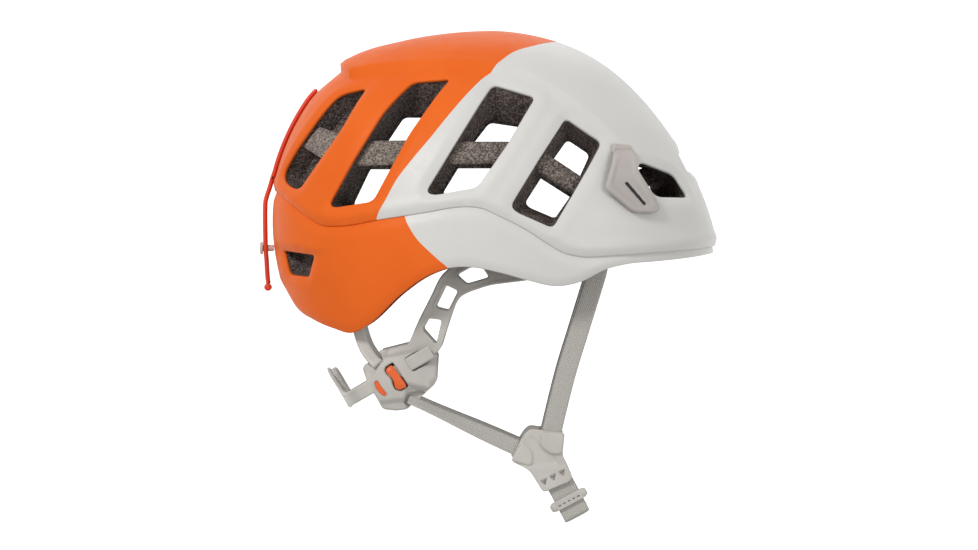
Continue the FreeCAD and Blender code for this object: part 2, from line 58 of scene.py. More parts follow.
VIEW_CENTRE = (5.6 * MM, -6.25 * MM)
VIEW_DISTANCE = 5.0
VIEW_WIDTH = 0.61125
SENSOR = 36.0
# Each light: its place, the point it faces, its size and its power.
LIGHTS = {"key": ((-1.3, -2.2, 1.5), (0, 0, 0), 0.7, 41),
          "fill": ((1.9, -2.0, 0.3), (0, 0, 0), 1.0, 12),
          "rim": ((0.3, 1.6, 1.6), (0, 0, 0.05), 1.0, 2.5)}
WORLD_GLOW = 0.56
WALL_Y, WALL_HALF, WALL_Z = 9.5, 16, 1
WALL_GREY = 0.92
WALL_GLOW = 0.75


def make_camera():
    data = bpy.data.cameras.new("camera")
    data.sensor_width = SENSOR
    data.lens = SENSOR * VIEW_DISTANCE / VIEW_WIDTH
    data.clip_end = 30.0
    camera = bpy.data.objects.new("camera", data)
    camera.location = (VIEW_CENTRE[0], -VIEW_DISTANCE, VIEW_CENTRE[1])
    camera.rotation_euler = (math.pi / 2, 0, 0)
    bpy.context.scene.collection.objects.link(camera)
    bpy.context.scene.camera = camera


def area_light(name, place, target, size, power):
    data = bpy.data.lights.new(name, "AREA")
    data.shape = "DISK"
    data.size = size
    data.energy = power
    light = bpy.data.objects.new(name, data)
    light.location = place
    aim = Vector(target) - Vector(place)
    light.rotation_euler = aim.to_track_quat("-Z", "Y").to_euler()
    bpy.context.scene.collection.objects.link(light)


def make_stage():
    world = bpy.data.worlds.new("studio")
    world.use_nodes = True
    back = world.node_tree.nodes["Background"]
    back.inputs["Color"].default_value = (1, 1, 1, 1)
    back.inputs["Strength"].default_value = WORLD_GLOW
    bpy.context.scene.world = world
    for name, values in LIGHTS.items():
        area_light(name, *values)
    mesh = bpy.data.meshes.new("backdrop")
    corners = [(x * WALL_HALF, WALL_Y, WALL_Z + z * WALL_HALF) for x, z in ((-1, -1), (1, -1), (1, 1), (-1, 1))]
    mesh.from_pydata(corners, [], [(0, 1, 2, 3)])
    wall = bpy.data.objects.new("backdrop", mesh)
    bpy.context.scene.collection.objects.link(wall)
    paint = bpy.data.materials.new("backdrop")
    paint.use_nodes = True
    surface = paint.node_tree.nodes["Principled BSDF"]
    surface.inputs["Base Color"].default_value = (WALL_GREY, WALL_GREY, WALL_GREY, 1)
    surface.inputs["Roughness"].default_value = 0.95
    surface.inputs["Emission Color"].default_value = (1, 1, 1, 1)
    surface.inputs["Emission Strength"].default_value = WALL_GLOW
    mesh.materials.append(paint)


make_camera()
make_stage()
bpy.context.scene.view_settings.view_transform = "Standard"

# ------------------------------------------------------------------ materials

COLOUR_DRIFT = 0.06


class Paint:
    """A small helper around one material's node tree."""

    def __init__(self, name):
        self.material = bpy.data.materials.new(name)
        self.material.use_nodes = True
        self.tree = self.material.node_tree
        self.surface = self.tree.nodes["Principled BSDF"]

    def node(self, kind, **inputs):
        made = self.tree.nodes.new(kind)
        for key, value in inputs.items():
            made.inputs[key.replace("_", " ")].default_value = value
        return made

    def link(self, source, target):
        self.tree.links.new(source, target)

    def set(self, **values):
        for key, value in values.items():
            self.surface.inputs[key.replace("_", " ")].default_value = value

    def coords(self, which="Object"):
        return self.tree.nodes.new("ShaderNodeTexCoord").outputs[which]

    def noise(self, scale, detail=3.0, rough=0.5, where=None):
        made = self.node("ShaderNodeTexNoise", Scale=scale, Detail=detail, Roughness=rough)
        self.link(where or self.coords(), made.inputs["Vector"])
        return made

    def ramp(self, factor, stops):
        made = self.tree.nodes.new("ShaderNodeValToRGB")
        made.color_ramp.elements[0].position = stops[0][0]
        made.color_ramp.elements[0].color = (*stops[0][1], 1)
        made.color_ramp.elements[1].position = stops[-1][0]
        made.color_ramp.elements[1].color = (*stops[-1][1], 1)
        for place, colour in stops[1:-1]:
            made.color_ramp.elements.new(place).color = (*colour, 1)
        self.link(factor, made.inputs["Fac"])
        return made.outputs["Color"]

    def feed(self, socket, value):
        """Gives a socket another node's output, a colour or a number."""
        if isinstance(value, bpy.types.NodeSocket):
            self.link(value, socket)
        else:
            socket.default_value = (*value, 1) if isinstance(value, tuple) else value

    def mix(self, factor, first, second):
        made = self.tree.nodes.new("ShaderNodeMix")
        made.data_type = "RGBA"
        for key, value in (("Factor", factor), (6, first), (7, second)):
            self.feed(made.inputs[key], value)
        return made.outputs[2]

    def math(self, kind, first, second=0.0):
        made = self.tree.nodes.new("ShaderNodeMath")
        made.operation = kind
        for socket, value in zip(made.inputs, (first, second)):
            self.feed(socket, value)
        return made.outputs[0]

    def span(self, value, low, high, new_low=0.0, new_high=1.0):
        made = self.tree.nodes.new("ShaderNodeMapRange")
        for key, number in (("From Min", low), ("From Max", high), ("To Min", new_low),
                            ("To Max", new_high)):
            made.inputs[key].default_value = number
        self.link(value, made.inputs["Value"])
        return made.outputs["Result"]

    def colour(self, source):
        self.link(source, self.surface.inputs["Base Color"])

    def rough(self, source):
        self.link(source, self.surface.inputs["Roughness"])

    def bump(self, height, strength, distance):
        made = self.node("ShaderNodeBump", Strength=strength, Distance=distance)
        self.link(height, made.inputs["Height"])
        self.link(made.outputs["Normal"], self.surface.inputs["Normal"])


def shell_paint(name, colour, deep, shine=0.3):
    """Satin moulded polycarbonate: a soft gloss, a faint mottle and fine orange peel."""
    p = Paint(name)
    mottle = p.noise(26.0, 4.0, 0.55)
    p.colour(p.mix(p.span(mottle.outputs["Fac"], 0.3, 0.7), colour, deep))
    p.rough(p.span(p.noise(160.0, 3.0).outputs["Fac"], 0.3, 0.7, 0.36, 0.46))
    p.set(Specular_IOR_Level=shine)
    p.bump(p.noise(1500.0, 2.0).outputs["Fac"], 0.12, 0.00012)
    return p.material


def foam_paint(name, dark, middle, light, paler_behind=False):
    """Moulded bead foam: welded beads in dark greys with pale flecks and small pits."""
    p = Paint(name)
    where = p.coords()
    beads = p.node("ShaderNodeTexVoronoi", Scale=1250.0)
    p.link(where, beads.inputs["Vector"])
    tone = p.tree.nodes.new("ShaderNodeSeparateColor")
    p.link(beads.outputs["Color"], tone.inputs["Color"])
    grain = p.noise(2600.0, 4.0, 0.75, where)
    blend = p.math("ADD", p.math("MULTIPLY", tone.outputs["Red"], 0.55),
                   p.math("MULTIPLY", grain.outputs["Fac"], 0.55))
    if paler_behind:
        place = p.tree.nodes.new("ShaderNodeSeparateXYZ")
        p.link(where, place.inputs["Vector"])
        blend = p.math("ADD", blend, p.math("MULTIPLY", place.outputs["X"], -1.1))
    p.colour(p.ramp(blend, [(0.2, dark), (0.52, middle), (0.95, light)]))
    p.set(Roughness=0.8, Specular_IOR_Level=0.2)
    height = p.math("ADD", p.math("MULTIPLY", beads.outputs["Distance"], -0.7),
                    p.math("MULTIPLY", grain.outputs["Fac"], 0.5))
    p.bump(height, 0.7, 0.0007)
    return p.material


def plastic_paint(name, colour, rough=0.5, grain=0.25):
    """Moulded plastic with a fine spark-eroded grain and slight colour drift."""
    p = Paint(name)
    drift = p.noise(40.0, 3.0)
    deep = tuple(c * (1 - 2 * COLOUR_DRIFT) for c in colour)
    pale = tuple(min(1.0, c * (1 + COLOUR_DRIFT)) for c in colour)
    p.colour(p.mix(p.span(drift.outputs["Fac"], 0.3, 0.7), deep, pale))
    p.rough(p.span(p.noise(300.0, 3.0).outputs["Fac"], 0.3, 0.7, rough - 0.06, rough + 0.08))
    p.set(Specular_IOR_Level=0.4)
    p.bump(p.noise(2600.0, 2.0).outputs["Fac"], grain, 0.00012)
    return p.material


def webbing_paint(name, colour):
    """Narrow woven webbing: diagonal ribs across and warp threads along, from its own UVs."""
    p = Paint(name)
    uv = p.coords("UV")
    parts = p.tree.nodes.new("ShaderNodeSeparateXYZ")
    p.link(uv, parts.inputs["Vector"])
    warp = p.math("SINE", p.math("MULTIPLY", parts.outputs["X"], 2 * math.pi / 0.0011))
    skew = p.math("ADD", parts.outputs["Y"], p.math("MULTIPLY", p.math("ABSOLUTE", parts.outputs["X"]), 0.9))
    weft = p.math("SINE", p.math("MULTIPLY", skew, 2 * math.pi / 0.00155))
    weave = p.math("MULTIPLY", p.math("ADD", warp, 1.4), p.math("ADD", weft, 1.3))
    fuzz = p.noise(2200.0, 3.0, 0.6)
    tone = p.math("ADD", p.math("MULTIPLY", weave, 0.12), p.math("MULTIPLY", fuzz.outputs["Fac"], 0.5))
    deep = tuple(c * 0.72 for c in colour)
    pale = tuple(min(1.0, c * 1.16) for c in colour)
    p.colour(p.ramp(tone, [(0.2, deep), (0.55, colour), (0.85, pale)]))
    p.set(Roughness=0.82, Specular_IOR_Level=0.25, Sheen_Weight=0.25, Sheen_Roughness=0.5)
    p.bump(p.math("ADD", weave, p.math("MULTIPLY", fuzz.outputs["Fac"], 0.7)), 0.55, 0.00025)
    return p.material


def pad_paint(name, colour):
    """Brushed knit over soft foam."""
    p = Paint(name)
    where = p.coords()
    knit = p.node("ShaderNodeTexVoronoi", Scale=900.0)
    p.link(where, knit.inputs["Vector"])
    fuzz = p.noise(1800.0, 4.0, 0.7, where)
    tone = p.math("ADD", p.math("MULTIPLY", knit.outputs["Distance"], 0.6),
                  p.math("MULTIPLY", fuzz.outputs["Fac"], 0.5))
    p.colour(p.ramp(tone, [(0.15, tuple(c * 0.72 for c in colour)), (0.45, colour),
                           (0.75, tuple(min(1, c * 1.3) for c in colour))]))
    p.set(Roughness=0.95, Specular_IOR_Level=0.15, Sheen_Weight=0.5, Sheen_Roughness=0.6)
    p.bump(tone, 0.6, 0.0005)
    return p.material


def metal_paint(name):
    """A bright plated face with a faint brushing."""
    p = Paint(name)
    p.set(Metallic=1.0)
    p.colour(p.mix(p.noise(400.0, 3.0).outputs["Fac"], (0.42, 0.42, 0.43), (0.56, 0.56, 0.57)))
    p.rough(p.span(p.noise(900.0, 2.0).outputs["Fac"], 0.3, 0.7, 0.25, 0.4))
    return p.material


ORANGE = shell_paint("shell_orange", (0.80, 0.146, 0.020), (0.77, 0.130, 0.017), 0.05)
WHITE = shell_paint("shell_white", (0.655, 0.645, 0.618), (0.625, 0.615, 0.588))
FOAM = foam_paint("bead_foam", (0.018, 0.013, 0.012), (0.078, 0.060, 0.054), (0.30, 0.245, 0.215))
RIB_FOAM = foam_paint("rib_foam", (0.040, 0.033, 0.030), (0.135, 0.110, 0.096), (0.42, 0.36, 0.31), True)
CORE = foam_paint("core_foam", (0.014, 0.014, 0.015), (0.045, 0.043, 0.043), (0.13, 0.125, 0.12))
GREY = plastic_paint("harness_plastic", (0.53, 0.505, 0.465), 0.46)
HOOK_GREY = plastic_paint("hook_plastic", (0.47, 0.43, 0.405), 0.5)
ACCENT = plastic_paint("accent_plastic", (0.80, 0.13, 0.025), 0.34, 0.1)
ELASTIC = plastic_paint("elastic_rubber", (0.72, 0.055, 0.018), 0.42, 0.15)
STUD = plastic_paint("stud_plastic", (0.62, 0.47, 0.42), 0.45, 0.1)
# Black plastic for the buckles, anchors and hook slots; also used as painted shade on the plate under the
# adjuster's button window.
DARK = plastic_paint("dark_plastic_and_painted_shade", (0.018, 0.018, 0.019), 0.45)
WEBBING = webbing_paint("webbing", (0.55, 0.525, 0.485))
# Painted shade: the stitches' dark grey stands in for the shadow in the keeper's recessed stitch dashes.
STITCH_SHADE = plastic_paint("stitch_painted_shade", (0.16, 0.15, 0.14), 0.7)
PAD = pad_paint("pad_knit", (0.035, 0.035, 0.038))
PALE_PAD = pad_paint("pale_pad_knit", (0.52, 0.495, 0.46))
STEEL = metal_paint("magnet_plating")

# ------------------------------------------------------------------ the dome surface

SLICES = np.array([
    (146.3, 8, 8, 0, 8), (146.0, 14, -2, 7, 6), (145.2, 22, -19, 18, 2), (142, 41, -36, 34, 2),
    (136, 57, -61, 50, -2), (127, 74, -85, 64, -6), (115, 90, -96, 77, -6), (98, 107, -108.5, 89, -6),
    (76, 123, -121.5, 98.5, -8), (50, 135, -130, 104.5, -10), (22, 147, -131, 107, -12),
    (-8, 151, -126.5, 106.5, -15), (-32, 150, -120, 102, -17), (-60, 148, -112, 96, -18)])
TOP = 146.3
FULLNESS = 2.1
EYE = np.array([0.0, 0.0, 15.0])


def level_fits():
    """Smooth curves through the level slices, in the root of the depth below the crown."""
    depth = np.sqrt(1 - SLICES[:, 0] / TOP)
    weight = np.ones(len(depth))
    weight[0] = 5
    return [np.polyfit(depth, SLICES[:, k], 6, w=weight) for k in range(1, 5)]


FITS = level_fits()


def level(z):
    """Front reach, rear reach, half width and centre of the slice at a height."""
    depth = np.sqrt(np.clip(1 - z / TOP, 1e-6, None))
    front, rear, half, centre = (np.polyval(fit, depth) for fit in FITS)
    return front, rear, np.maximum(half, 0.05), centre


def outside(points, scale=(1, 1, 1)):
    """Above 1 outside the dome and below 1 inside; the dome may be scaled."""
    x = points[:, 0] / scale[0]
    y = points[:, 1] / scale[1]
    z = np.where(points[:, 2] > 0, points[:, 2] / scale[2], points[:, 2])
    front, rear, half, centre = level(z)
    reach = np.maximum(np.where(x > centre, front - centre, centre - rear), 0.05)
    value = (np.abs(x - centre) / reach) ** FULLNESS + (np.abs(y) / half) ** FULLNESS
    return np.where(z > TOP - 0.02, 9.0, value)


def onto_dome(directions, scale=(1, 1, 1)):
    """Where rays from the middle of the helmet leave the dome."""
    low = np.full(len(directions), 20.0)
    high = np.full(len(directions), 230.0)
    for _ in range(34):
        middle = 0.5 * (low + high)
        out = outside(EYE + directions * middle[:, None], scale) > 1
        high = np.where(out, middle, high)
        low = np.where(out, low, middle)
    return EYE + directions * low[:, None]


def dome_normals(points, scale=(1, 1, 1)):
    """Outward directions, from small steps about each point."""
    step = 0.4
    grad = np.zeros_like(points)
    for axis in range(3):
        shift = np.zeros(3)
        shift[axis] = step
        grad[:, axis] = outside(points + shift, scale) - outside(points - shift, scale)
    grad[:, 2] = np.clip(grad[:, 2], -3, 3)
    near_top = points[:, 2] > (TOP - 1.2) * scale[2]
    grad[near_top] = (0, 0, 1)
    return grad / np.linalg.norm(grad, axis=1)[:, None]


def to_disc(points):
    """The dome laid flat: the angle from the crown is the distance from the middle."""
    away = points - EYE
    away = away / np.linalg.norm(away, axis=1)[:, None]
    polar = np.arccos(np.clip(away[:, 2], -1, 1))
    turn = np.arctan2(away[:, 1], away[:, 0])
    return np.stack([polar * np.cos(turn), polar * np.sin(turn)], 1)


def from_disc(spots, scale=(1, 1, 1)):
    """The dome's points over spots of the flat disc."""
    polar = np.hypot(spots[:, 0], spots[:, 1])
    turn = np.arctan2(spots[:, 1], spots[:, 0])
    rays = np.stack([np.sin(polar) * np.cos(turn), np.sin(polar) * np.sin(turn), np.cos(polar)], 1)
    return onto_dome(rays, scale)


def on_side(outline, side, scale=(1, 1, 1)):
    """Points of the dome's right (-1) or left (+1) side under an outline drawn in X and Z."""
    x = outline[:, 0] / scale[0]
    z = np.where(outline[:, 1] > 0, outline[:, 1] / scale[2], outline[:, 1])
    front, rear, half, centre = level(z)
    reach = np.where(x > centre, front - centre, centre - rear)
    inside = np.clip(1 - (np.abs(x - centre) / reach) ** FULLNESS, 0, 1)
    y = side * half * inside ** (1 / FULLNESS) * scale[1]
    return np.stack([outline[:, 0], y, outline[:, 1]], 1)


def around(height_of_x, count, scale=(1, 1, 1)):
    """A closed line round the dome whose height depends on X."""
    turn = np.linspace(0, 2 * math.pi, count, endpoint=False)
    z = np.zeros(count)
    for _ in range(60):
        front, rear, half, centre = level(np.where(z > 0, z / scale[2], z))
        c, s = np.cos(turn), np.sin(turn)
        reach = np.where(c > 0, front - centre, centre - rear)
        x = (centre + reach * np.sign(c) * np.abs(c) ** (2 / FULLNESS)) * scale[0]
        y = half * np.sign(s) * np.abs(s) ** (2 / FULLNESS) * scale[1]
        z = 0.5 * z + 0.5 * height_of_x(x)
    return np.stack([x, y, z], 1)


# ------------------------------------------------------------------ outlines

def smooth_height(points):
    """A smooth height over X through a few points."""
    spots = np.array(points, float)
    x, z = spots[:, 0], spots[:, 1]
    slope = np.gradient(z, x)
    fine = []
    for k in range(len(x) - 1):
        u = np.linspace(0, 1, 24, endpoint=False)
        width = x[k + 1] - x[k]
        h = ((1 + 2 * u) * (1 - u) ** 2 * z[k] + u * (1 - u) ** 2 * width * slope[k]
             + u * u * (3 - 2 * u) * z[k + 1] + u * u * (u - 1) * width * slope[k + 1])
        fine.append(np.stack([x[k] + u * width, h], 1))
    fine = np.vstack(fine + [spots[-1:]])
    return lambda where: np.interp(where, fine[:, 0], fine[:, 1])


def soft_loop(corners, cut, counts=None, spacing=1.5):
    """A closed outline with eased corners; returns its points and the samples used per corner."""
    points = np.array(corners, float)
    size = len(points)
    loop, used = [], []
    for k in range(size):
        before, here, after = points[k - 1], points[k], points[(k + 1) % size]
        back, ahead = before - here, after - here
        reach_back = min(cut, 0.48 * np.hypot(*back)) / np.hypot(*back)
        reach_ahead = min(cut, 0.48 * np.hypot(*ahead)) / np.hypot(*ahead)
        start, end = here + back * reach_back, here + ahead * reach_ahead
        next_start = after - ahead * (min(cut, 0.48 * np.hypot(*ahead)) / np.hypot(*ahead))
        run = np.hypot(*(next_start - end))
        if counts is None:
            bend_count = max(4, int(np.ceil(np.hypot(*(end - start)) / spacing)))
            run_count = max(1, int(np.ceil(run / spacing)))
        else:
            bend_count, run_count = counts[k]
        used.append((bend_count, run_count))
        for u in np.linspace(0, 1, bend_count, endpoint=False):
            loop.append((1 - u) ** 2 * start + 2 * u * (1 - u) * here + u * u * end)
        for u in np.linspace(0, 1, run_count, endpoint=False):
            loop.append(end + (next_start - end) * u)
    return np.array(loop), used


def bent(points, steps=26, spacing=None):
    """A smooth path through a few points (Catmull-Rom), in even steps or at about one spacing."""
    spots = np.array(points, float)
    ends = np.vstack([2 * spots[0] - spots[1], spots, 2 * spots[-1] - spots[-2]])
    line = []
    for k in range(1, len(ends) - 2):
        p0, p1, p2, p3 = ends[k - 1:k + 3]
        count = steps if spacing is None else max(2, int(np.linalg.norm(p2 - p1) / spacing))
        for u in np.linspace(0, 1, count, endpoint=False):
            line.append(0.5 * (2 * p1 + (p2 - p0) * u + (2 * p0 - 5 * p1 + 4 * p2 - p3) * u * u
                               + (3 * p1 - p0 - 3 * p2 + p3) * u ** 3))
    line.append(spots[-1])
    return np.array(line)


def open_line(points):
    """A smooth line on a flat drawing."""
    return bent(points, spacing=1.5)


RIM = [(-150, -9), (-126, -12.5), (-116.5, -27), (-105, -34.5), (-92.5, -39.5), (-80.5, -42), (-71.5, -37.5),
       (-49, -17.5), (-34.5, -7.5), (-18, -1.5), (-6.5, -1), (12.5, -4.5), (31, -9.5), (48.5, -13),
       (62, -10.5), (78.5, -2.5), (93, 1), (113, 3), (136.5, 6), (165, 12.5)]
SEAM = [(-150, 56), (-128, 46), (-111, 32.5), (-98, 25), (-89, 24.5), (-62.5, 28.5), (-30.5, 33.5),
        (-16, 36), (-7.5, 36.5), (2, 35.2), (12.5, 30.5), (30, 21.5), (43, 13), (52, 8), (60, 6), (85.5, 6.5),
        (111, 8.5), (136.5, 11), (165, 16)]
rim_height = smooth_height(RIM)
seam_height = smooth_height(SEAM)

VENTS = {
    "rear": ([(-42.5, 115.5), (-17.5, 117.5), (-43, 81), (-66, 38.5), (-91.5, 34.5), (-94.5, 37.5),
              (-79, 65.5), (-61, 94.5)],
             [(-48, 93), (-31, 93), (-40, 80), (-64, 37.5), (-76, 36), (-80, 38), (-70, 59),
              (-57.5, 79)]),
    "middle": ([(8, 114), (36, 105.5), (18, 74.5), (-1, 47), (-29, 42), (-34, 45), (-15.5, 75.5)],
               [(6, 90), (26, 87), (17.5, 74.5), (-1, 46), (-19, 43), (-24, 45), (-5, 76)]),
    "front": ([(54, 93), (78, 77), (60, 46), (45.5, 21.5), (21.5, 32), (18.5, 36.5), (36.5, 66)],
              [(55, 79), (69, 69.5), (58, 45), (46.5, 28.5), (30, 35.5), (28, 38.5), (43, 62)]),
}
BROW_SIDE = ([(99, 65), (121.5, 57), (131.5, 41.5), (109, 41.5), (97.5, 58)],
             [(97, 62), (104, 60), (107, 44), (102, 43), (96, 57)])
REAR_POCKET = [(-70, 112), (-89, 108), (-104.5, 88.5), (-116, 72), (-124.5, 57), (-122.5, 50), (-113.5, 45),
               (-98, 67), (-86, 84)]
LOW_POCKET = [(-126.5, 9), (-104.5, 6), (-107.5, -9), (-121, -7.5)]
RIBS = {
    "rear": [(-86, 79.5), (-28, 79.5), (-36, 63.5), (-96, 63.5)],
    "middle": [(-24, 78.5), (30, 78.5), (22, 64), (-32, 64)],
    "front": [(34, 77), (72, 52), (65, 42), (27, 66)],
}
REAR_POCKET_RIB = [(-103.5, 88), (-84, 81), (-97, 64.5), (-114, 75)]
CAVITY = (1 - 60 / 282, 1 - 50 / 214, 1 - 26 / TOP)
DISC_RADIUS = 2.3


def lattice(radius, spacing_mm):
    """Evenly spread spots of the disc, ring by ring."""
    spots = [(0.0, 0.0)]
    pitch = spacing_mm / 120.0
    for ring in range(1, int(radius / pitch) + 1):
        polar = ring * pitch
        count = max(6, int(2 * math.pi * max(math.sin(polar), 0.2) / pitch))
        turn = 2 * math.pi * (np.arange(count) + 0.5 * (ring % 2)) / count
        spots += list(zip(polar * np.cos(turn), polar * np.sin(turn)))
    return np.array(spots)


def within(spots, polygon):
    """Which spots lie inside a closed polygon."""
    result = np.zeros(len(spots), bool)
    x, y = spots[:, 0], spots[:, 1]
    for a, b in zip(polygon, np.roll(polygon, -1, axis=0)):
        if a[1] == b[1]:
            continue
        crosses = (a[1] > y) != (b[1] > y)
        result ^= crosses & (x < (b[0] - a[0]) * (y - a[1]) / (b[1] - a[1]) + a[0])
    return result


def nearest(points, line):
    """Distance from each point to the closest of a line's points."""
    best = np.full(len(points), 1e9)
    for start in range(0, len(line), 64):
        gap = points[:, None, :] - line[None, start:start + 64, :]
        best = np.minimum(best, np.sqrt((gap ** 2).sum(2)).min(1))
    return best


def fill_flat(spots, loops, lines=(), tolerance=1e-5):
    """Triangles over loose flat spots that keep closed loops and open lines as edges."""
    spots, edges = [tuple(p) for p in spots], []
    for k, line in enumerate([*loops, *lines]):
        first, count = len(spots), len(line)
        spots += [tuple(p) for p in line]
        last = count if k < len(loops) else count - 1
        edges += [(first + i, first + (i + 1) % count) for i in range(last)]
    made = delaunay_2d_cdt([Vector(p) for p in spots], edges, [], 0, tolerance)
    return np.array([(v.x, v.y) for v in made[0]]), np.array(made[2])


def cut_out(verts, faces, outline, holes=()):
    """Only the triangles inside an outline and outside its holes."""
    middle = verts[faces].mean(1)
    keep = within(middle, outline)
    for hole in holes:
        keep &= ~within(middle, hole)
    return used_only(verts, faces[keep])


def triangulate(loops, lines, spacing, scale=(1, 1, 1)):
    """A triangulation of the dome that keeps closed loops and open lines as edges."""
    flats = [to_disc(loop) for loop in loops + lines]
    seeds = lattice(DISC_RADIUS, spacing)
    solid = from_disc(seeds, scale)
    keep = np.ones(len(seeds), bool)
    for line in loops + lines:
        keep &= nearest(solid, line) > 0.62 * spacing
    return fill_flat(seeds[keep], flats[:len(loops)], flats[len(loops):], 1e-7)


def smoothstep(value, low, high):
    u = np.clip((value - low) / (high - low), 0, 1)
    return u * u * (3 - 2 * u)


def to_mesh(name, verts, faces, materials, slots=None):
    """A mesh object from millimetre vertices."""
    mesh = bpy.data.meshes.new(name)
    mesh.from_pydata([tuple(v) for v in np.asarray(verts) * MM], [], [tuple(int(i) for i in f) for f in faces])
    for material in materials:
        mesh.materials.append(material)
    if slots is not None:
        mesh.polygons.foreach_set("material_index", np.asarray(slots, dtype=np.int32))
    mesh.polygons.foreach_set("use_smooth", [True] * len(mesh.polygons))
    mesh.update()
    made = bpy.data.objects.new(name, mesh)
    bpy.context.scene.collection.objects.link(made)
    return made


def used_only(verts, faces):
    """Drops vertices that no face uses."""
    faces = np.asarray(faces)
    kept = np.unique(faces)
    renumber = np.full(len(verts), -1)
    renumber[kept] = np.arange(len(kept))
    return verts[kept], renumber[faces]


def halved(low, high, turns, is_outside):
    """The furthest value still inside, found by halving."""
    for _ in range(turns):
        middle = (low + high) / 2
        if is_outside(middle):
            high = middle
        else:
            low = middle
    return low


# Lines on the shell.
LOOP_POINTS = 640
rim_loop = around(rim_height, LOOP_POINTS)
seam_loop = around(seam_height, LOOP_POINTS)
vent_flats = {}
vent_inner_flats = {}
for key, (outer, inner) in VENTS.items():
    vent_flats[key], sampling = soft_loop(outer, 4.6)
    vent_inner_flats[key] = soft_loop(inner, 3.0, sampling)[0]
vent_flats["brow_side"], sampling = soft_loop(BROW_SIDE[0], 5.0)
vent_inner_flats["brow_side"] = soft_loop(BROW_SIDE[1], 2.0, sampling)[0]
pocket_flats = {"rear_pocket": soft_loop(REAR_POCKET, 6.0)[0], "low_pocket": soft_loop(LOW_POCKET, 3.0)[0]}

COLOUR_UPPER = [(-67, 22), (-63.5, 29.4), (-57.5, 40.6), (-50.6, 53.1), (-41, 65.6), (-30.5, 78.1),
                (-20.5, 90.6), (-10, 103.1), (1, 115.6), (8, 121), (13, 126), (21.9, 132.2), (34.4, 136.2)]
COLOUR_LOWER = [(-54, 42), (-47.5, 31.25), (-44.4, 24.4), (-38.75, 15.6), (-31.25, 8.1), (-25, 2.5),
                (-20.6, -1.25), (-14, -8)]
CREST = [(96, 62), (88, 73), (75, 86), (65.6, 94), (53, 103), (40.6, 112), (25, 119), (9.4, 121.5),
         (-3, 123.5), (-25, 124.5), (-50, 124), (-66, 122), (-80, 119)]
CREST_SLOPE = 2.6 / 125
CROWN_MIDDLE = 49.0
REAR_DIP = 6.0


def brow_slot():
    """The slot in the middle of the forehead, as a loop on the dome."""
    corners = [(-21, 58), (21, 58), (23, 62), (19, 71), (-19, 71), (-23, 62)]
    flat, _ = soft_loop(corners, 5.0)
    height = flat[:, 1]
    front, _, half, centre = level(height)
    inside = np.clip(1 - (np.abs(flat[:, 0]) / half) ** FULLNESS, 0, 1)
    x = centre + (front - centre) * inside ** (1 / FULLNESS)
    return np.stack([x, flat[:, 0], height], 1)


def under_sky(x, y):
    """The dome's highest point over a place on the floor plan."""
    z = halved(20.0, TOP - 0.03, 32, lambda z: outside(np.array([[x, y, z]]))[0] > 1)
    return (x, y, z)


def across_crown(flat):
    """An open line up the right side, over the crown and down the left side."""
    right = on_side(open_line(flat), -1)
    left = on_side(open_line(flat), 1)[::-1]
    edge_x, edge_y = right[-1][0], abs(right[-1][1])
    spread = np.linspace(-1, 1, 34)[1:-1]
    middle = np.array([under_sky(edge_x + (CROWN_MIDDLE - edge_x) * (1 - v * v), edge_y * v) for v in spread])
    return np.vstack([right, middle, left])


colour_upper = across_crown(COLOUR_UPPER)
crest_right = on_side(open_line(CREST), -1)
crest_left = on_side(open_line(CREST), 1)[::-1]
rear_bridge = []
for u in np.linspace(0, 1, 40)[1:-1]:
    spot = crest_right[-1] * (1 - u) + crest_left[0] * u
    spot[0] -= REAR_DIP * (1 - (2 * u - 1) ** 2)
    rear_bridge.append(under_sky(spot[0], spot[1]))
crest_line = np.vstack([crest_right, np.array(rear_bridge), crest_left])
crest_flat = to_disc(crest_line)
crest_run = np.gradient(crest_flat, axis=0)
crest_run /= np.linalg.norm(crest_run, axis=1)[:, None]
crest_foot = from_disc(crest_flat + np.stack([-crest_run[:, 1], crest_run[:, 0]], 1) * CREST_SLOPE)
colour_lower_right = on_side(open_line(COLOUR_LOWER), -1)
colour_lower_left = on_side(open_line(COLOUR_LOWER), 1)
hole_loops = {}
for key, flat in {**vent_flats, **pocket_flats}.items():
    for side, word in WORD.items():
        hole_loops[key + "_" + word] = on_side(flat, side)
hole_loops["brow"] = brow_slot()

# ------------------------------------------------------------------ shells

SHELL_SPACING = 2.4
SHELL_WALL = 0.8
FOAM_GAP = 1.5
# The rolled edge, row by row: how far past the border and how far under the face.
ROLLED_EDGE = [(0.35, 0.15), (0.6, 0.5), (0.7, 1.0), (0.7, 2.0)]
names = list(hole_loops)
flat_verts, flat_faces = triangulate([rim_loop, seam_loop] + [hole_loops[n] for n in names],
                                     [colour_upper, colour_lower_right, colour_lower_left, crest_line,
                                      crest_foot], SHELL_SPACING)
shell_points = from_disc(flat_verts)
middles = flat_verts[flat_faces].mean(1)
in_rim = within(middles, to_disc(rim_loop))
in_seam = within(middles, to_disc(seam_loop))
in_hole = np.zeros(len(middles), bool)
for n in names:
    in_hole |= within(middles, to_disc(hole_loops[n]))

FAR = 4.0
upper_flat = to_disc(colour_upper)
front_upper = np.vstack([upper_flat, [(-0.5, FAR)], [(FAR, FAR)], [(FAR, -FAR)], [(-0.5, -FAR)]])
lower_right_flat, lower_left_flat = to_disc(colour_lower_right), to_disc(colour_lower_left)
front_lower = np.vstack([lower_right_flat, [(0.4, -FAR)], [(FAR, -FAR)], [(FAR, FAR)], [(0.4, FAR)],
                         lower_left_flat[::-1]])
is_front_upper = within(middles, front_upper)
is_front_lower = within(middles, front_lower)
all_holes = np.vstack([hole_loops[n] for n in names])


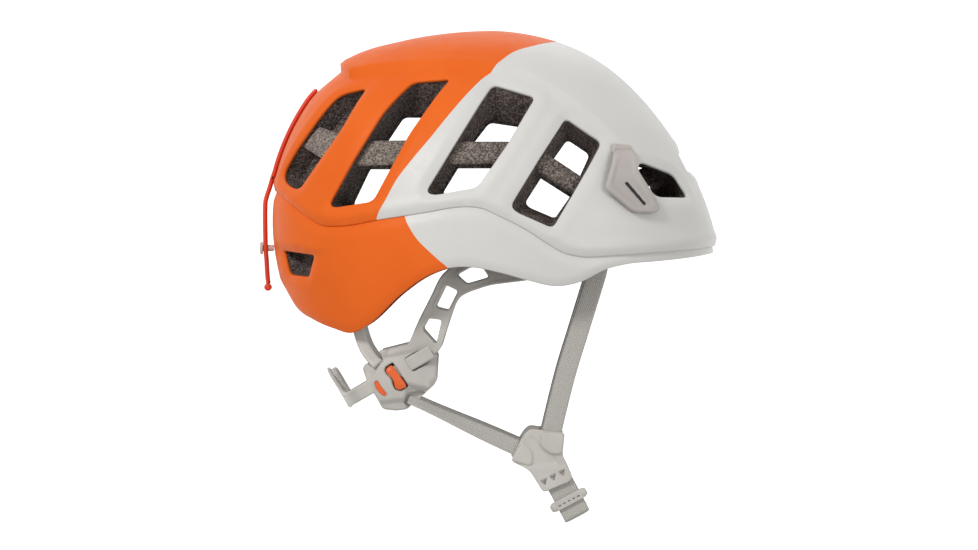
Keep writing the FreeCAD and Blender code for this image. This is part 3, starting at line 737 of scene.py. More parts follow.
def sinkage(points, upper):
    """How far the moulded surface lies under the dome: crest groove, vent lips, seam step, creases."""
    flat = to_disc(points)
    x, z = points[:, 0], points[:, 2]
    sink = np.zeros(len(points))
    if upper:
        gap = nearest(points, crest_line)
        crown = within(flat, to_disc(crest_line))
        fade = 1 - smoothstep(x, 74, 102)
        tail = smoothstep(-x, 48, 84)
        deep = 2.6 - 0.3 * tail
        groove = smoothstep(gap, 0, 2.8) * (1 - 0.8 * smoothstep(gap, 7, 30))
        sink += np.where(crown, 0.0, deep * groove * fade)
        sink -= np.where(crown, 0.45 * np.exp(-((gap - 3.2) / 2.4) ** 2) * fade, 0.0)
        raised = np.where(crown, 1.0, 1 - smoothstep(gap, 0.0, 2.4))
        sink -= 2.2 * tail * raised * smoothstep(z, 105, 117)
        near_seam = nearest(points, seam_loop)
        sink += 1.2 * (1 - smoothstep(near_seam, 0, 3.4)) - 0.6 * np.exp(-((near_seam - 5.0) / 3.5) ** 2)
    else:
        sink += 1.7
        near_seam = nearest(points, seam_loop)
        sink += 1.3 * (1 - smoothstep(near_seam, 0.5, 7.0))
        near_rim = nearest(points, rim_loop)
        sink += 1.1 * (1 - smoothstep(near_rim, 0, 4.0))
        crease = nearest(points, crease_points)
        above = z > np.interp(x, CREASE_X, CREASE_Z)
        sink += np.where(above, 0.0, 1.3 * (1 - smoothstep(crease, 0, 16))) * smoothstep(-x, 90, 104)
    near_hole = nearest(points, all_holes)
    sink += 0.9 * (1 - smoothstep(near_hole, 0, 4.5)) - 0.35 * np.exp(-((near_hole - 6.0) / 2.5) ** 2)
    return sink


def shell_shape(points, upper):
    """Dome points moved to the moulded surface, and the dome's normals there."""
    normals = dome_normals(points)
    return points - normals * sinkage(points, upper)[:, None], normals


def foam_skin(points):
    """Dome points moved to just under the shells."""
    high, low = sinkage(points, True), sinkage(points, False)
    sink = np.where(within(to_disc(points), to_disc(seam_loop)), high, low)
    sink = np.where(nearest(points, seam_loop) < 6.5, np.maximum(high, low), sink)
    return points - dome_normals(points) * (sink + FOAM_GAP)[:, None]


CREASE_X, CREASE_Z = [-128, -112.5, -97], [11.5, 8.8, 7.5]
crease_flat = open_line(list(zip(CREASE_X, CREASE_Z)))
crease_points = np.vstack([on_side(crease_flat, -1), on_side(crease_flat, 1)])


def boundary_loops(faces):
    """Closed chains of border vertices, each running with its faces' winding."""
    edges = {}
    for face in faces:
        for a, b in ((face[0], face[1]), (face[1], face[2]), (face[2], face[0])):
            edges[(int(a), int(b))] = True
    following = {a: b for (a, b) in edges if (b, a) not in edges}
    loops = []
    while following:
        start, here = following.popitem()
        chain = [start]
        while here != start and here in following:
            chain.append(here)
            here = following.pop(here)
        loops.append(chain)
    return loops


def add_flange(verts, normals, faces, slots, profile):
    """Rolls every border of a shell inwards in a few rows."""
    verts, faces, slots = list(verts), list(map(tuple, faces)), list(slots)
    slot_of = {}
    for face, slot in zip(faces, slots):
        for corner in face:
            slot_of[corner] = slot
    for chain in boundary_loops(faces):
        ring = np.array([verts[i] for i in chain])
        along = np.roll(ring, -1, axis=0) - np.roll(ring, 1, axis=0)
        along /= np.linalg.norm(along, axis=1)[:, None]
        up = np.array([normals[i] for i in chain])
        out = np.cross(along, up)
        out /= np.linalg.norm(out, axis=1)[:, None]
        for _ in range(3):
            out = (np.roll(out, 1, axis=0) + out + np.roll(out, -1, axis=0)) / 3
        previous = list(chain)
        for away, down in profile:
            row = ring + out * away - up * down
            first = len(verts)
            verts += list(row)
            count = len(chain)
            current = list(range(first, first + count))
            for i in range(count):
                j = (i + 1) % count
                faces.append((previous[j], previous[i], current[i]))
                faces.append((previous[j], current[i], current[j]))
                slots += [slot_of[chain[i]]] * 2
            previous = current
    return np.array(verts), np.array(faces), slots


def thicken(piece):
    """Gives a shell its wall."""
    solid = piece.modifiers.new("skin", "SOLIDIFY")
    solid.thickness = SHELL_WALL * MM
    solid.offset = -1
    solid.use_even_offset = False
    solid.use_quality_normals = True


def make_shell(name, chosen, upper, node):
    """One shell: white in front of the colour line, orange behind it."""
    front = is_front_upper if upper else is_front_lower
    verts, faces = used_only(shell_points, flat_faces[chosen])
    slots = np.where(front[chosen], 1, 0)
    turned = np.cross(verts[faces[:, 1]] - verts[faces[:, 0]], verts[faces[:, 2]] - verts[faces[:, 0]])
    away = verts[faces].mean(1) - EYE
    wrong = (turned * away).sum(1) < 0
    faces[wrong] = faces[wrong][:, ::-1]
    verts, normals = shell_shape(verts, upper)
    verts, faces, slots = add_flange(verts, normals, faces, slots, ROLLED_EDGE)
    piece = to_mesh(name, verts, faces, [ORANGE, WHITE], slots)
    thicken(piece)
    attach(piece, "root")
    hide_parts(node)


make_shell("outer_shell_upper", in_rim & in_seam & ~in_hole, True, "upper_shell")
make_shell("outer_shell_lower", in_rim & ~in_seam & ~in_hole, False, "lower_shell")

# ------------------------------------------------------------------ the bead-foam liner

FOAM_SPACING = 3.0


class Soup:
    """Vertices and faces gathered from several surfaces, welded at the end."""

    def __init__(self):
        self.verts, self.faces = [], []
        self.total = 0

    def add(self, verts, faces):
        self.verts.append(np.asarray(verts, float))
        self.faces += [tuple(int(i) + self.total for i in face) for face in faces]
        self.total += len(verts)

    def loft(self, rows):
        """Quads between closed rows of equal length."""
        count = len(rows[0])
        faces = []
        for r in range(len(rows) - 1):
            for i in range(count):
                j = (i + 1) % count
                faces.append((r * count + i, r * count + j, (r + 1) * count + j, (r + 1) * count + i))
        self.add(np.vstack(rows), faces)

    def solid(self, rows):
        """A loft with both ends closed."""
        self.loft(rows)
        for row in (rows[0], rows[-1]):
            self.add(row, [tuple(range(len(row)))])

    def piece(self, name, material, weld=0.01, sharp=None):
        """Welds what was gathered into one object; edges over a sharp angle stay crisp."""
        made = to_mesh(name, np.vstack(self.verts), self.faces, [material])
        work = bmesh.new()
        work.from_mesh(made.data)
        bmesh.ops.remove_doubles(work, verts=work.verts, dist=weld * MM)
        bmesh.ops.dissolve_degenerate(work, edges=work.edges, dist=0.004 * MM)
        bmesh.ops.recalc_face_normals(work, faces=work.faces)
        if sharp is not None:
            for edge in work.edges:
                if len(edge.link_faces) == 2 and edge.calc_face_angle(0) > math.radians(sharp):
                    edge.smooth = False
        work.to_mesh(made.data)
        work.free()
        return made


def liner_skin(rim, holes, spacing, scale=(1, 1, 1)):
    """The dome inside the rim line, with its holes left open."""
    verts, faces = triangulate([rim] + holes, [], spacing, scale)
    flat, chosen = cut_out(verts, faces, to_disc(rim), [to_disc(loop) for loop in holes])
    return from_disc(flat, scale), chosen


def vent_walls(soup, holes_outer, inner_loops):
    """The straight walls of the openings that go right through the foam."""
    for name, end in inner_loops.items():
        start = holes_outer[name]
        soup.loft([start * (1 - u) + end * u for u in np.linspace(0, 1, 10)])


def blind_pockets(soup, holes_outer):
    """Pockets that end inside the foam, with a slight draft and a flat floor."""
    for name, start in holes_outer.items():
        if "pocket" not in name:
            continue
        depth = 12.0 if name.startswith("rear") else 9.0
        heart = start.mean(0)
        inward = dome_normals(heart[None])[0]
        rows = [start]
        for u in np.linspace(0.15, 1, 7):
            rows.append(start + (heart - start) * (0.10 * u) - inward * depth * u)
        soup.loft(rows)
        floor, centre = rows[-1], heart - inward * depth
        rows = [floor + (centre - floor) * (k / 5) for k in range(5)]
        soup.loft(rows)
        count = len(floor)
        soup.add(np.vstack([rows[-1], centre[None]]), [(i, (i + 1) % count, count) for i in range(count)])


def make_liner():
    soup = Soup()
    holes_outer = {n: foam_skin(hole_loops[n]) for n in names}
    inner_loops = {}
    for key, flat in vent_inner_flats.items():
        for side, word in WORD.items():
            inner_loops[key + "_" + word] = on_side(flat, side, CAVITY)
    inner_loops["brow"] = from_disc(to_disc(hole_loops["brow"]), CAVITY)
    rim_flat = around(lambda x: rim_height(x) + 1.0, LOOP_POINTS)
    rim_outer = foam_skin(rim_flat)
    rim_inner = around(lambda x: rim_height(x) + 5.0, LOOP_POINTS, CAVITY)

    solid, chosen = liner_skin(rim_flat, [hole_loops[n] for n in names], FOAM_SPACING)
    soup.add(foam_skin(solid), chosen)
    soup.add(*liner_skin(rim_inner, list(inner_loops.values()), FOAM_SPACING + 0.4, CAVITY))

    # Rim strip, rounded.
    rows = []
    for u in np.linspace(0, 1, 9):
        row = rim_outer * (1 - u) + rim_inner * u
        row[:, 2] -= 1.6 * math.sin(math.pi * u) ** 0.7
        rows.append(row)
    soup.loft(rows)

    vent_walls(soup, holes_outer, inner_loops)
    blind_pockets(soup, holes_outer)
    return soup.piece("bead_foam_liner", FOAM, 0.03, sharp=38)


# A rib's section: the share of the way down the rib, and the depth behind its face.
RIB_SECTION = [(0.0, 1.2), (0.08, 0.25), (0.2, 0.0), (0.5, -0.3), (0.8, 0.0), (0.92, 0.3), (1.0, 1.4),
               (1.02, 4.0), (0.99, 9.0)]


def rib_rows(quad, side, top_depth, thick):
    """Cross-section rings along a rib that runs fore and aft across a vent."""
    top_left, top_right, low_right, low_left = [np.array(p, float) for p in quad]
    back = [(0.95, thick), (0.5, thick + 0.5), (0.05, thick), (0.0, 9.0), (-0.01, 4.0)]
    rows = []
    for u in np.linspace(0, 1, 23):
        high = top_left + (top_right - top_left) * u
        low = low_left + (low_right - low_left) * u
        ring = []
        for v, depth in RIB_SECTION + back:
            spot = high + (low - high) * v
            base = on_side(spot[None], side)[0]
            normal = dome_normals(base[None])[0]
            flat_normal = np.array([normal[0] * 0.35, normal[1], normal[2] * 0.25])
            flat_normal /= np.linalg.norm(flat_normal)
            ring.append(base - normal * top_depth - flat_normal * depth)
        rows.append(np.array(ring))
    return rows


def make_ribs():
    soup = Soup()
    for quad, top_depth, thick in [(quad, 8.0, 13.0) for quad in RIBS.values()] + [(REAR_POCKET_RIB, 5.0, 9.0)]:
        for side in (-1, 1):
            soup.solid(rib_rows(quad, side, top_depth, thick))
    return soup.piece("liner_ribs", RIB_FOAM, sharp=45)


for piece in (make_liner(), make_ribs()):
    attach(piece, "root")
    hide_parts("foam_liner")

# ------------------------------------------------------------------ tools for the small parts

def edge_gap(points, loops):
    """Distance from flat points to the nearest edge of some closed loops."""
    best = np.full(len(points), 1e9)
    for loop in loops:
        for a, b in zip(loop, np.roll(loop, -1, axis=0)):
            run = b - a
            size = run @ run
            if size < 1e-12:
                continue
            u = np.clip(((points - a) @ run) / size, 0, 1)
            best = np.minimum(best, np.hypot(*(points - a - u[:, None] * run).T))
    return best


def shrink(loop, amount):
    """A loop moved toward its inside, whichever way it runs."""
    ahead = np.roll(loop, -1, axis=0) - np.roll(loop, 1, axis=0)
    ahead /= np.linalg.norm(ahead, axis=1)[:, None]
    left = np.stack([-ahead[:, 1], ahead[:, 0]], 1)
    x, y = loop[:, 0], loop[:, 1]
    area = (x * np.roll(y, -1) - np.roll(x, -1) * y).sum()
    return loop + left * amount * (1 if area > 0 else -1)


def arc_drop(gap, radius):
    """How far a rounded edge falls at a distance from the outline."""
    near = np.clip(radius - gap, 0, radius)
    return radius - np.sqrt(radius * radius - near * near)


def relief(soup, outline, top, back, place, lines=(), holes=(), spacing=0.9, radius=1.0):
    """A sculpted plate over an outline: its face follows top, its other side is flat."""
    loops = [outline] + list(holes)
    low, high = outline.min(0), outline.max(0)
    columns, rows = np.arange(low[0], high[0], spacing), np.arange(low[1], high[1], spacing * 0.87)
    grid = np.stack(np.meshgrid(columns, rows), -1)
    grid[1::2, :, 0] += spacing / 2
    grid = grid.reshape(-1, 2)
    inside = within(grid, outline)
    for hole in holes:
        inside &= ~within(grid, hole)
    grid = grid[inside & (edge_gap(grid, loops + list(lines)) > 0.5 * spacing)]
    for k, loop in enumerate(loops):
        for inset in (0.12, 0.35, 0.7, 1.0):
            ring = shrink(loop, inset * radius * (1 if k == 0 else -1))
            fits = within(ring, outline) & (edge_gap(ring, loops) > 0.8 * inset * radius)
            for hole in holes:
                fits &= ~within(ring, hole)
            grid = grid[nearest(grid, ring[fits]) > 0.3 * spacing] if fits.any() else grid
            grid = np.vstack([grid, ring[fits]])
    verts, faces = cut_out(*fill_flat(grid, loops + list(lines)), outline, holes)
    height = top(verts) - arc_drop(edge_gap(verts, loops), radius)
    soup.add(place(verts, height), faces)
    under = back + arc_drop(edge_gap(verts, loops), 0.35)
    soup.add(place(verts, under), faces[:, ::-1])
    for loop in loops:
        start = top(loop) - radius
        end = back + 0.35
        rows = [place(loop, start * (1 - u) + end * u) for u in np.linspace(0, 1, 4)]
        soup.loft(rows)


def eased(corners, cut, spacing=0.8):
    """A closed outline with eased corners."""
    return soft_loop(corners, cut, spacing=spacing)[0]


def step_in(points, loop, depth, slope=0.3):
    """A pocket with steep walls inside a loop."""
    sign = np.where(within(points, loop), 1.0, -1.0)
    return depth * smoothstep(sign * edge_gap(points, [loop]), -0.05, slope)


def swell(points, loop, height, slope):
    """A raised area with soft shoulders outside a loop."""
    gap = edge_gap(points, [loop])
    return height * np.where(within(points, loop), 1.0, 1 - smoothstep(gap, 0, slope))


def hand_over(piece, body, node, bend=None):
    """Hands a piece over to the body it rides; a piece given two bodies to bend between only has its placement
    baked, and those bodies and bend points are not used.
    """
    if bend is None:
        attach(piece, body)
    else:
        first, second, start, end = bend
        tuple(np.array(start) * MM)
        tuple(np.array(end) * MM)
        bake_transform(piece)
    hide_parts(node)


def turned(soup, profile, centre, axis, count=40):
    """A turned part: pairs of distance along the axis and radius."""
    axis = np.array(axis, float)
    side = np.cross(axis, (0.3, 0.2, 0.9))
    side /= np.linalg.norm(side)
    other = np.cross(axis, side)
    turn = np.linspace(0, 2 * math.pi, count, endpoint=False)
    ring = np.cos(turn)[:, None] * side + np.sin(turn)[:, None] * other
    rows = [np.array(centre) + axis * along + ring * max(radius, 0.02) for along, radius in profile]
    soup.solid(rows)


def unit(vector):
    vector = np.array(vector, float)
    return vector / np.linalg.norm(vector)


def axes_place(origin, first, second, normal):
    """Flat points laid out on any two directions."""
    origin, first, second, normal = (np.array(v, float) for v in (origin, first, second, normal))

    def place(spots, height):
        height = np.broadcast_to(height, (len(spots),))
        return origin + spots[:, :1] * first + spots[:, 1:] * second + height[:, None] * normal
    return place


def on_plane(side):
    """Flat points at a distance out to one side."""
    return axes_place((0, 0, 0), (1, 0, 0), (0, 0, 1), (0, side, 0))


def even(height):
    """A level top for a plate."""
    return lambda points: np.full(len(points), float(height))


def circle(radius, count, centre=(0, 0)):
    turn = np.linspace(0, 2 * math.pi, count, endpoint=False)
    return np.stack([centre[0] + radius * np.cos(turn), centre[1] + radius * np.sin(turn)], 1)


def rectangle(width, length, cut=0.8, spacing=0.8):
    half, end = width / 2, length / 2
    return eased([(-half, -end), (half, -end), (half, end), (-half, end)], cut, spacing)


def block(soup, centre, first, second, normal, width, length, thick, cut, radius):
    """A block with eased corners and edges."""
    outline = rectangle(width, length, cut)
    place = axes_place(centre, first, second, normal)
    relief(soup, outline, even(thick / 2), -thick / 2, place, spacing=1.6, radius=radius)


RIBBON_PITCH = 1.1


def ribbon(name, path, width, thick, across=(1, 0, 0), material=WEBBING):
    """A strap along a path of points, with its width kept as near to a given direction as it can be."""
    path = np.array(path, float)
    lengths = np.concatenate([[0], np.cumsum(np.linalg.norm(np.diff(path, axis=0), axis=1))])
    count = max(3, int(lengths[-1] / RIBBON_PITCH) + 1)
    where = np.linspace(0, lengths[-1], count)
    line = np.stack([np.interp(where, lengths, path[:, k]) for k in range(3)], 1)
    for _ in range(4):
        line[1:-1] = 0.25 * line[:-2] + 0.5 * line[1:-1] + 0.25 * line[2:]
    along = np.gradient(line, axis=0)
    along /= np.linalg.norm(along, axis=1)[:, None]
    across = np.array(across, float)
    if across.ndim == 2:
        turn = smoothstep(np.linspace(0, 1, count), 0, 1)[:, None]
        across = across[0] * (1 - turn) + across[1] * turn
    across = np.broadcast_to(across, line.shape)
    cross = across - (across * along).sum(1)[:, None] * along
    cross /= np.linalg.norm(cross, axis=1)[:, None]
    normal = np.cross(along, cross)
    columns = np.linspace(-1, 1, 13)
    verts, uvs = [], []
    for r in range(count):
        ends = 0.35 if r in (0, count - 1) else 1.0
        for sign, order in ((1, columns), (-1, columns[::-1])):
            for c in order:
                lift = sign * thick / 2 * (1 - abs(c) ** 6 * 0.75) * ends
                verts.append(line[r] + cross[r] * c * width / 2 + normal[r] * lift)
                uvs.append((c * width / 2 * MM, where[r] * MM))
    ring = 2 * len(columns)
    faces = []
    for r in range(count - 1):
        for i in range(ring):
            j = (i + 1) % ring
            faces.append((r * ring + i, (r + 1) * ring + i, (r + 1) * ring + j, r * ring + j))
    for r, flip in ((0, False), (count - 1, True)):
        for i in range(len(columns) - 1):
            a, b = r * ring + i, r * ring + i + 1
            c, d = r * ring + ring - 2 - i, r * ring + ring - 1 - i
            faces.append((a, b, c, d) if not flip else (d, c, b, a))
    piece = to_mesh(name, verts, faces, [material])
    layer = piece.data.uv_layers.new(name="weave")
    corner = np.empty(len(piece.data.loops), dtype=np.int32)
    piece.data.loops.foreach_get("vertex_index", corner)
    layer.data.foreach_set("uv", np.array(uvs)[corner].ravel())
    return piece


def stitch_rows(soup, starts, direction, length, size):
    """Short raised stitches."""
    half = [(length / 2, 0.08), (length * 0.42, size * 0.7), (length * 0.2, size)]
    profile = [(-along, radius) for along, radius in half] + half[::-1]
    for start in starts:
        turned(soup, profile, start, direction, count=8)


# ------------------------------------------------------------------ headlamp hooks

HOOK = [(84, 72.5), (81.5, 61), (77.5, 48), (79, 45.5), (95.5, 32.5), (108, 32), (112, 34), (109, 41.5),
        (98, 58.5), (98, 65), (96.8, 72.5)]
HOOK_GROOVE = [(89, 50.5), (91.3, 51.8), (103.5, 37.6), (101.6, 36.2)]
HOOK_LINE = [(86.5, 66), (82, 49.5), (96.5, 37), (106, 36.5), (104.5, 41), (94, 57), (93.8, 66)]


def over_dome(side):
    """Flat side-view points at a height over the dome."""
    def place(spots, height):
        height = np.broadcast_to(height, (len(spots),))[:, None]
        normals = dome_normals(on_side(spots, side))
        for _ in range(3):
            base = on_side(spots - (normals * 5.0)[:, [0, 2]], side)
            normals = dome_normals(base)
        return base + normals * height
    return place


def make_hooks():
    outline = eased(HOOK, 2.6, 0.9)
    groove = eased(HOOK_GROOVE, 0.9, 0.5)
    field = eased(HOOK_LINE, 2.5, 0.9)

    def top(points):
        taper = smoothstep(points[:, 1], 62, 74)
        face = 5.0 - 3.0 * taper
        return face - step_in(points, groove, 1.5) - swell(points, field, 0.7, 1.5) * (1 - taper)

    for side, word in WORD.items():
        soup = Soup()
        relief(soup, outline, top, 2.2, over_dome(side), lines=[groove], spacing=1.1, radius=1.3)
        hand_over(soup.piece("lamp_hook_" + word, HOOK_GREY, sharp=50),
                  "hook_" + word, "front_hook_" + word)
        slot = Soup()
        relief(slot, shrink(groove, 0.12), even(3.85), 3.0, over_dome(side), spacing=1.0, radius=0.15)
        hand_over(slot.piece("lamp_hook_slot_" + word, DARK), "hook_" + word, "front_hook_" + word)
        foot = Soup()
        relief(foot, eased([(84.2, 76.5), (83.6, 70.5), (97, 70.5), (95.5, 75.5)], 1.2, 0.7),
               even(1.6), -1.0, over_dome(side), spacing=1.2, radius=0.7)
        hand_over(foot.piece("lamp_hook_foot_" + word, HOOK_GREY, sharp=50),
                  "root", "hook_foot_" + word)


make_hooks()

# ------------------------------------------------------------------ headband

ARM = [(-56, -56), (-44.5, -50), (-37.5, -33.5), (-30.5, -20), (-24.5, -7), (-18.5, -1.5), (-6.5, 8.5),
       (20.5, 12.5), (49, 13), (59.5, 9.5), (59.5, -1), (49, -5.5), (30.5, -9.5), (6, -12.5), (-8.5, -17.5),
       (-14, -21.5), (-17, -29.5), (-20.5, -40), (-24.5, -53.5), (-41.5, -61.5)]
ARM_WINDOWS = [
    [(-35.5, -39.5), (-31.5, -33), (-23.5, -34), (-27, -49)],
    [(-27.5, -26), (-21, -12.5), (-13.5, -16), (-19.5, -28)],
    [(-14, -6), (-6, -1.5), (1.5, -1.5), (5.5, -7.5), (-8, -11.5)]]
HOUSING = [(-63, -53), (-43, -48), (-26, -54.5), (-27, -73), (-37, -82), (-42, -86), (-44.5, -89),
           (-51.5, -90), (-60, -89), (-63, -83), (-69, -73.5), (-72.5, -63.5), (-70, -60), (-65, -63.5),
           (-59, -58.5)]
BUTTON = [(-2.2, 8.0), (-3.9, 6.9), (-4.1, 5.2), (-3.5, 3.0), (-2.8, 0.6), (-3.3, -2.0), (-4.1, -4.4),
          (-3.9, -6.5), (-2.4, -7.8), (0.9, -8.2), (2.2, -8.0), (2.5, -5.5), (2.1, -1.0), (1.7, 2.5),
          (1.3, 5.0), (1.1, 8.0)]
WINDOW = [(2.3, 9.0), (3.4, -8.7), (-2.4, -8.5), (-4.5, -6.8), (-4.7, -4.2), (-3.5, 0.6), (-4.5, 4.6),
          (-4.5, 7.2), (-2.8, 8.8)]
CRESCENT = [(-65.2, -72.3), (-64.0, -71.0), (-62.6, -71.6), (-60.4, -75.3), (-57.3, -79.0), (-57.5, -80.4),
            (-58.8, -81.0), (-62, -78.7), (-64.4, -75.5)]
STRIP_BED = [(-46.4, -57.7), (-32.6, -49.2), (-24, -44), (-17, -54), (-27.2, -57.9), (-41.3, -66.0)]
NOSE = [(-44.8, -80.2), (-36, -78.8), (-26, -83), (-34, -94), (-46.0, -84.6)]
SLIDE = unit((0.863, 0, 0.505))
LIFT = unit((-0.505, 0, 0.863))
STRIP_END = np.array([-30.0, 0, -53.3])
PIVOT = (51, 4.5)
BUTTON_CENTRE = np.array([-51.1, 0, -69.0])
ARM_INNER, ARM_OUTER = 68.6, 70.6


def make_arms():
    outline = eased(ARM, 5.0, 1.1)
    holes = [eased(window, 1.8, 0.8) for window in ARM_WINDOWS]
    pin_seat = circle(3.2, 28, PIVOT)

    def top(points):
        rails = edge_gap(points, [outline] + holes)
        return ARM_OUTER - 0.35 * smoothstep(rails, 1.4, 2.2)

    for side, word in WORD.items():
        soup = Soup()
        relief(soup, outline, top, ARM_INNER, on_plane(side), holes=holes + [pin_seat], spacing=1.2, radius=0.6)
        hand_over(soup.piece("headband_arm_" + word, GREY, sharp=50), "cradle", "ladder_arm_" + word)


def housing_top(points):
    """The adjuster's domed face with its creases."""
    x, z = points[:, 0], points[:, 1]
    along = (x + 50) * SLIDE[0] + (z + 69) * SLIDE[2]
    lift = (x + 50) * LIFT[0] + (z + 69) * LIFT[2]
    height = 77.3 - 0.012 * along ** 2 - 0.006 * lift ** 2
    height -= 4.2 * smoothstep(-z - 0.25 * x, 82.5, 88.5) * smoothstep(x, -47, -42)
    height -= 3.4 * smoothstep(z - 0.22 * x, -45.5, -42.0)
    height -= 3.0 * smoothstep(z - 1.7 * x, 41, 48) * smoothstep(z, -74, -66)
    height -= 2.6 * smoothstep(x + 0.25 * z, -50, -45.5) * smoothstep(-z, 69, 74)
    height -= 2.4 * smoothstep(-z + 0.12 * x, 75.5, 79.5) * (1 - smoothstep(x, -48, -43))
    return height


def make_housings():
    outline = eased(HOUSING, 2.6, 0.8)
    window = eased([(BUTTON_CENTRE + SLIDE * a + LIFT * b)[[0, 2]] for a, b in WINDOW], 0.7, 0.5)
    crescent = eased(CRESCENT, 1.2, 0.5)
    bed = eased(STRIP_BED, 1.0, 0.8)
    nose = eased(NOSE, 1.5, 0.8)

    def top(points):
        height = housing_top(points)
        height = np.maximum(height - step_in(points, window, 9.0, 0.25), 69.3)
        height -= step_in(points, crescent, 1.1, 0.25)
        deep = np.minimum(height, 71.4)
        blend = smoothstep(np.where(within(points, bed), 1, -1) * edge_gap(points, [bed]), -0.2, 0.6)
        height = height * (1 - blend) + deep * blend
        height -= swell(points, nose, 5.2, 1.4)
        return height

    for side, word in WORD.items():
        soup = Soup()
        lines = [window, shrink(window, 0.3), crescent, shrink(crescent, 0.28)]
        relief(soup, outline, top, ARM_INNER, on_plane(side), lines=lines, spacing=0.75, radius=1.6)
        hand_over(soup.piece("adjuster_" + word, GREY, sharp=55),
                  "cradle", "adjuster_housing_" + word)
        # A dark plate under the button window: painted shade for the deep gap round the button, not a dark part
        # of the adjuster.
        dark = Soup()
        relief(dark, shrink(window, 0.25), even(70.2), 69.4, on_plane(side), spacing=1.6,
               radius=0.2)
        hand_over(dark.piece("adjuster_window_painted_shade_" + word, DARK),
                  "cradle", "adjuster_housing_" + word)


def make_buttons():
    outline = eased(BUTTON, 0.8, 0.4)
    ridge = eased([(-2.0, -5.6), (0.4, -5.6), (-0.4, 5.6), (-2.6, 5.6)], 1.0, 0.5)
    stem = eased([(-2.4, -6.8), (-0.4, -6.8), (-0.4, 6.8), (-2.4, 6.8)], 0.4, 0.5)
    for side, word in WORD.items():
        origin = BUTTON_CENTRE + np.array([0, side * 73.4, 0])
        soup = Soup()
        place = axes_place(origin, SLIDE, LIFT, (0, side, 0))
        relief(soup, outline, lambda p: 4.95 + swell(p, ridge, 0.5, 1.4), 3.95, place, spacing=0.5,
               radius=0.6)
        relief(soup, stem, even(4.3), 2.5, place, spacing=0.8, radius=0.2)
        hand_over(soup.piece("release_button_" + word, ACCENT, sharp=55),
                  "button_" + word, "latch_button_" + word)
        soup = Soup()
        crescent = shrink(eased(CRESCENT, 1.2, 0.5), 0.15)
        relief(soup, crescent, lambda p: housing_top(p) - 0.35, 75.0, on_plane(side), spacing=0.6, radius=0.45)
        hand_over(soup.piece("adjuster_insert_" + word, ACCENT, sharp=55),
                  "cradle", "latch_spring_" + word)


def make_pins():
    for side, word in WORD.items():
        soup = Soup()
        turned(soup, [(66.3, 1.6), (66.35, 4.4), (66.8, 5.3), (67.6, 5.5), (68.3, 5.4), (68.35, 3.0),
                      (82.6, 2.9), (83.1, 2.4)], (PIVOT[0], 0, PIVOT[1]), (0, side, 0))
        hand_over(soup.piece("temple_pivot_" + word, GREY, sharp=40), "root", "temple_pin_" + word)
        for key, at in (("front", (72, 76, 14.5)), ("rear", (-76, 67.4, -6))):
            soup = Soup()
            block(soup, (at[0], side * at[1], at[2]), (1, 0, 0), (0, 0, 1), (0, side, 0), 16.8, 14.8, 3.9,
                  2.5, 0.7)
            hand_over(soup.piece("%s_anchor_%s" % (key, word), DARK, sharp=40),
                      "root", "%s_strap_anchor_%s" % (key, word))


NAPE_PLAN = [(0, 75.2), (-8, 75.0), (-15, 74.3), (-21, 72.9), (-27, 72.1), (-38, 72),
             (-43, 72), (-48, 71.8), (-53, 69.2), (-57.3, 60.5), (-60.1, 42), (-61.3, 21), (-61.6, 0)]
NAPE_TOP = [(80, 4.3), (58, 4.3), (47, 5.2), (38, 8.3), (31, 13.6), (24, 19.4), (12, 22.6), (0, 23.7)]


def make_nape():
    """The strips of the nape band run into one curved plate across the back of the neck."""
    half = bent([(u, y, 0) for u, y in NAPE_PLAN], 14)[:, :2]
    path = np.vstack([half, (half * (1, -1))[::-1][1:]])
    ahead = np.gradient(path, axis=0)
    ahead /= np.linalg.norm(ahead, axis=1)[:, None]
    out = np.stack([ahead[:, 1], -ahead[:, 0]], 1)
    spots = np.array(NAPE_TOP)[::-1]
    rise = np.interp(np.abs(path[:, 1]), spots[:, 0], spots[:, 1])
    for _ in range(6):
        rise[1:-1] = 0.25 * rise[:-2] + 0.5 * rise[1:-1] + 0.25 * rise[2:]
    rows = []
    for k in range(len(path)):
        low, high = -4.3 - 0.9 * (1 - min(1, abs(path[k, 1]) / 60)), rise[k]
        ring = []
        for v in np.linspace(0, 1, 15):
            edge = min(v, 1 - v) * (high - low)
            thick = 1.4 - arc_drop(np.array([edge]), 0.8)[0] - 0.3 * smoothstep(edge, 1.6, 2.6) * (high > 9)
            ring.append((low + (high - low) * v, thick))
        row = []
        for w, t in ring + [(w, -t) for w, t in ring[::-1]]:
            flat = path[k] + out[k] * t
            row.append(STRIP_END + SLIDE * flat[0] + np.array([0, 1, 0]) * flat[1] + LIFT * w)
        rows.append(np.array(row))
    soup = Soup()
    soup.solid(rows)
    hand_over(soup.piece("nape_band_moulding", GREY, sharp=50), "nape", "nape_band")
    soup = Soup()
    centre = STRIP_END + SLIDE * -58.6 + LIFT * 9.4
    outline = rectangle(50, 24.5, 5.0, 1.2)

    def cushion(points):
        ribs = 0.35 * np.cos(points[:, 0] * 2 * math.pi / 8.0)
        return 1.6 + ribs * smoothstep(edge_gap(points, [outline]), 1.5, 4)

    relief(soup, outline, cushion, -1.6, axes_place(centre, (0, 1, 0), LIFT, SLIDE), spacing=1.1, radius=1.7)
    cushion_piece = soup.piece("nape_cushion", PALE_PAD, sharp=60)
    hand_over(cushion_piece, "nape", "nape_pad")


make_arms()
make_housings()
make_buttons()
make_pins()
make_nape()

# ------------------------------------------------------------------ webbing, yokes and chin strap

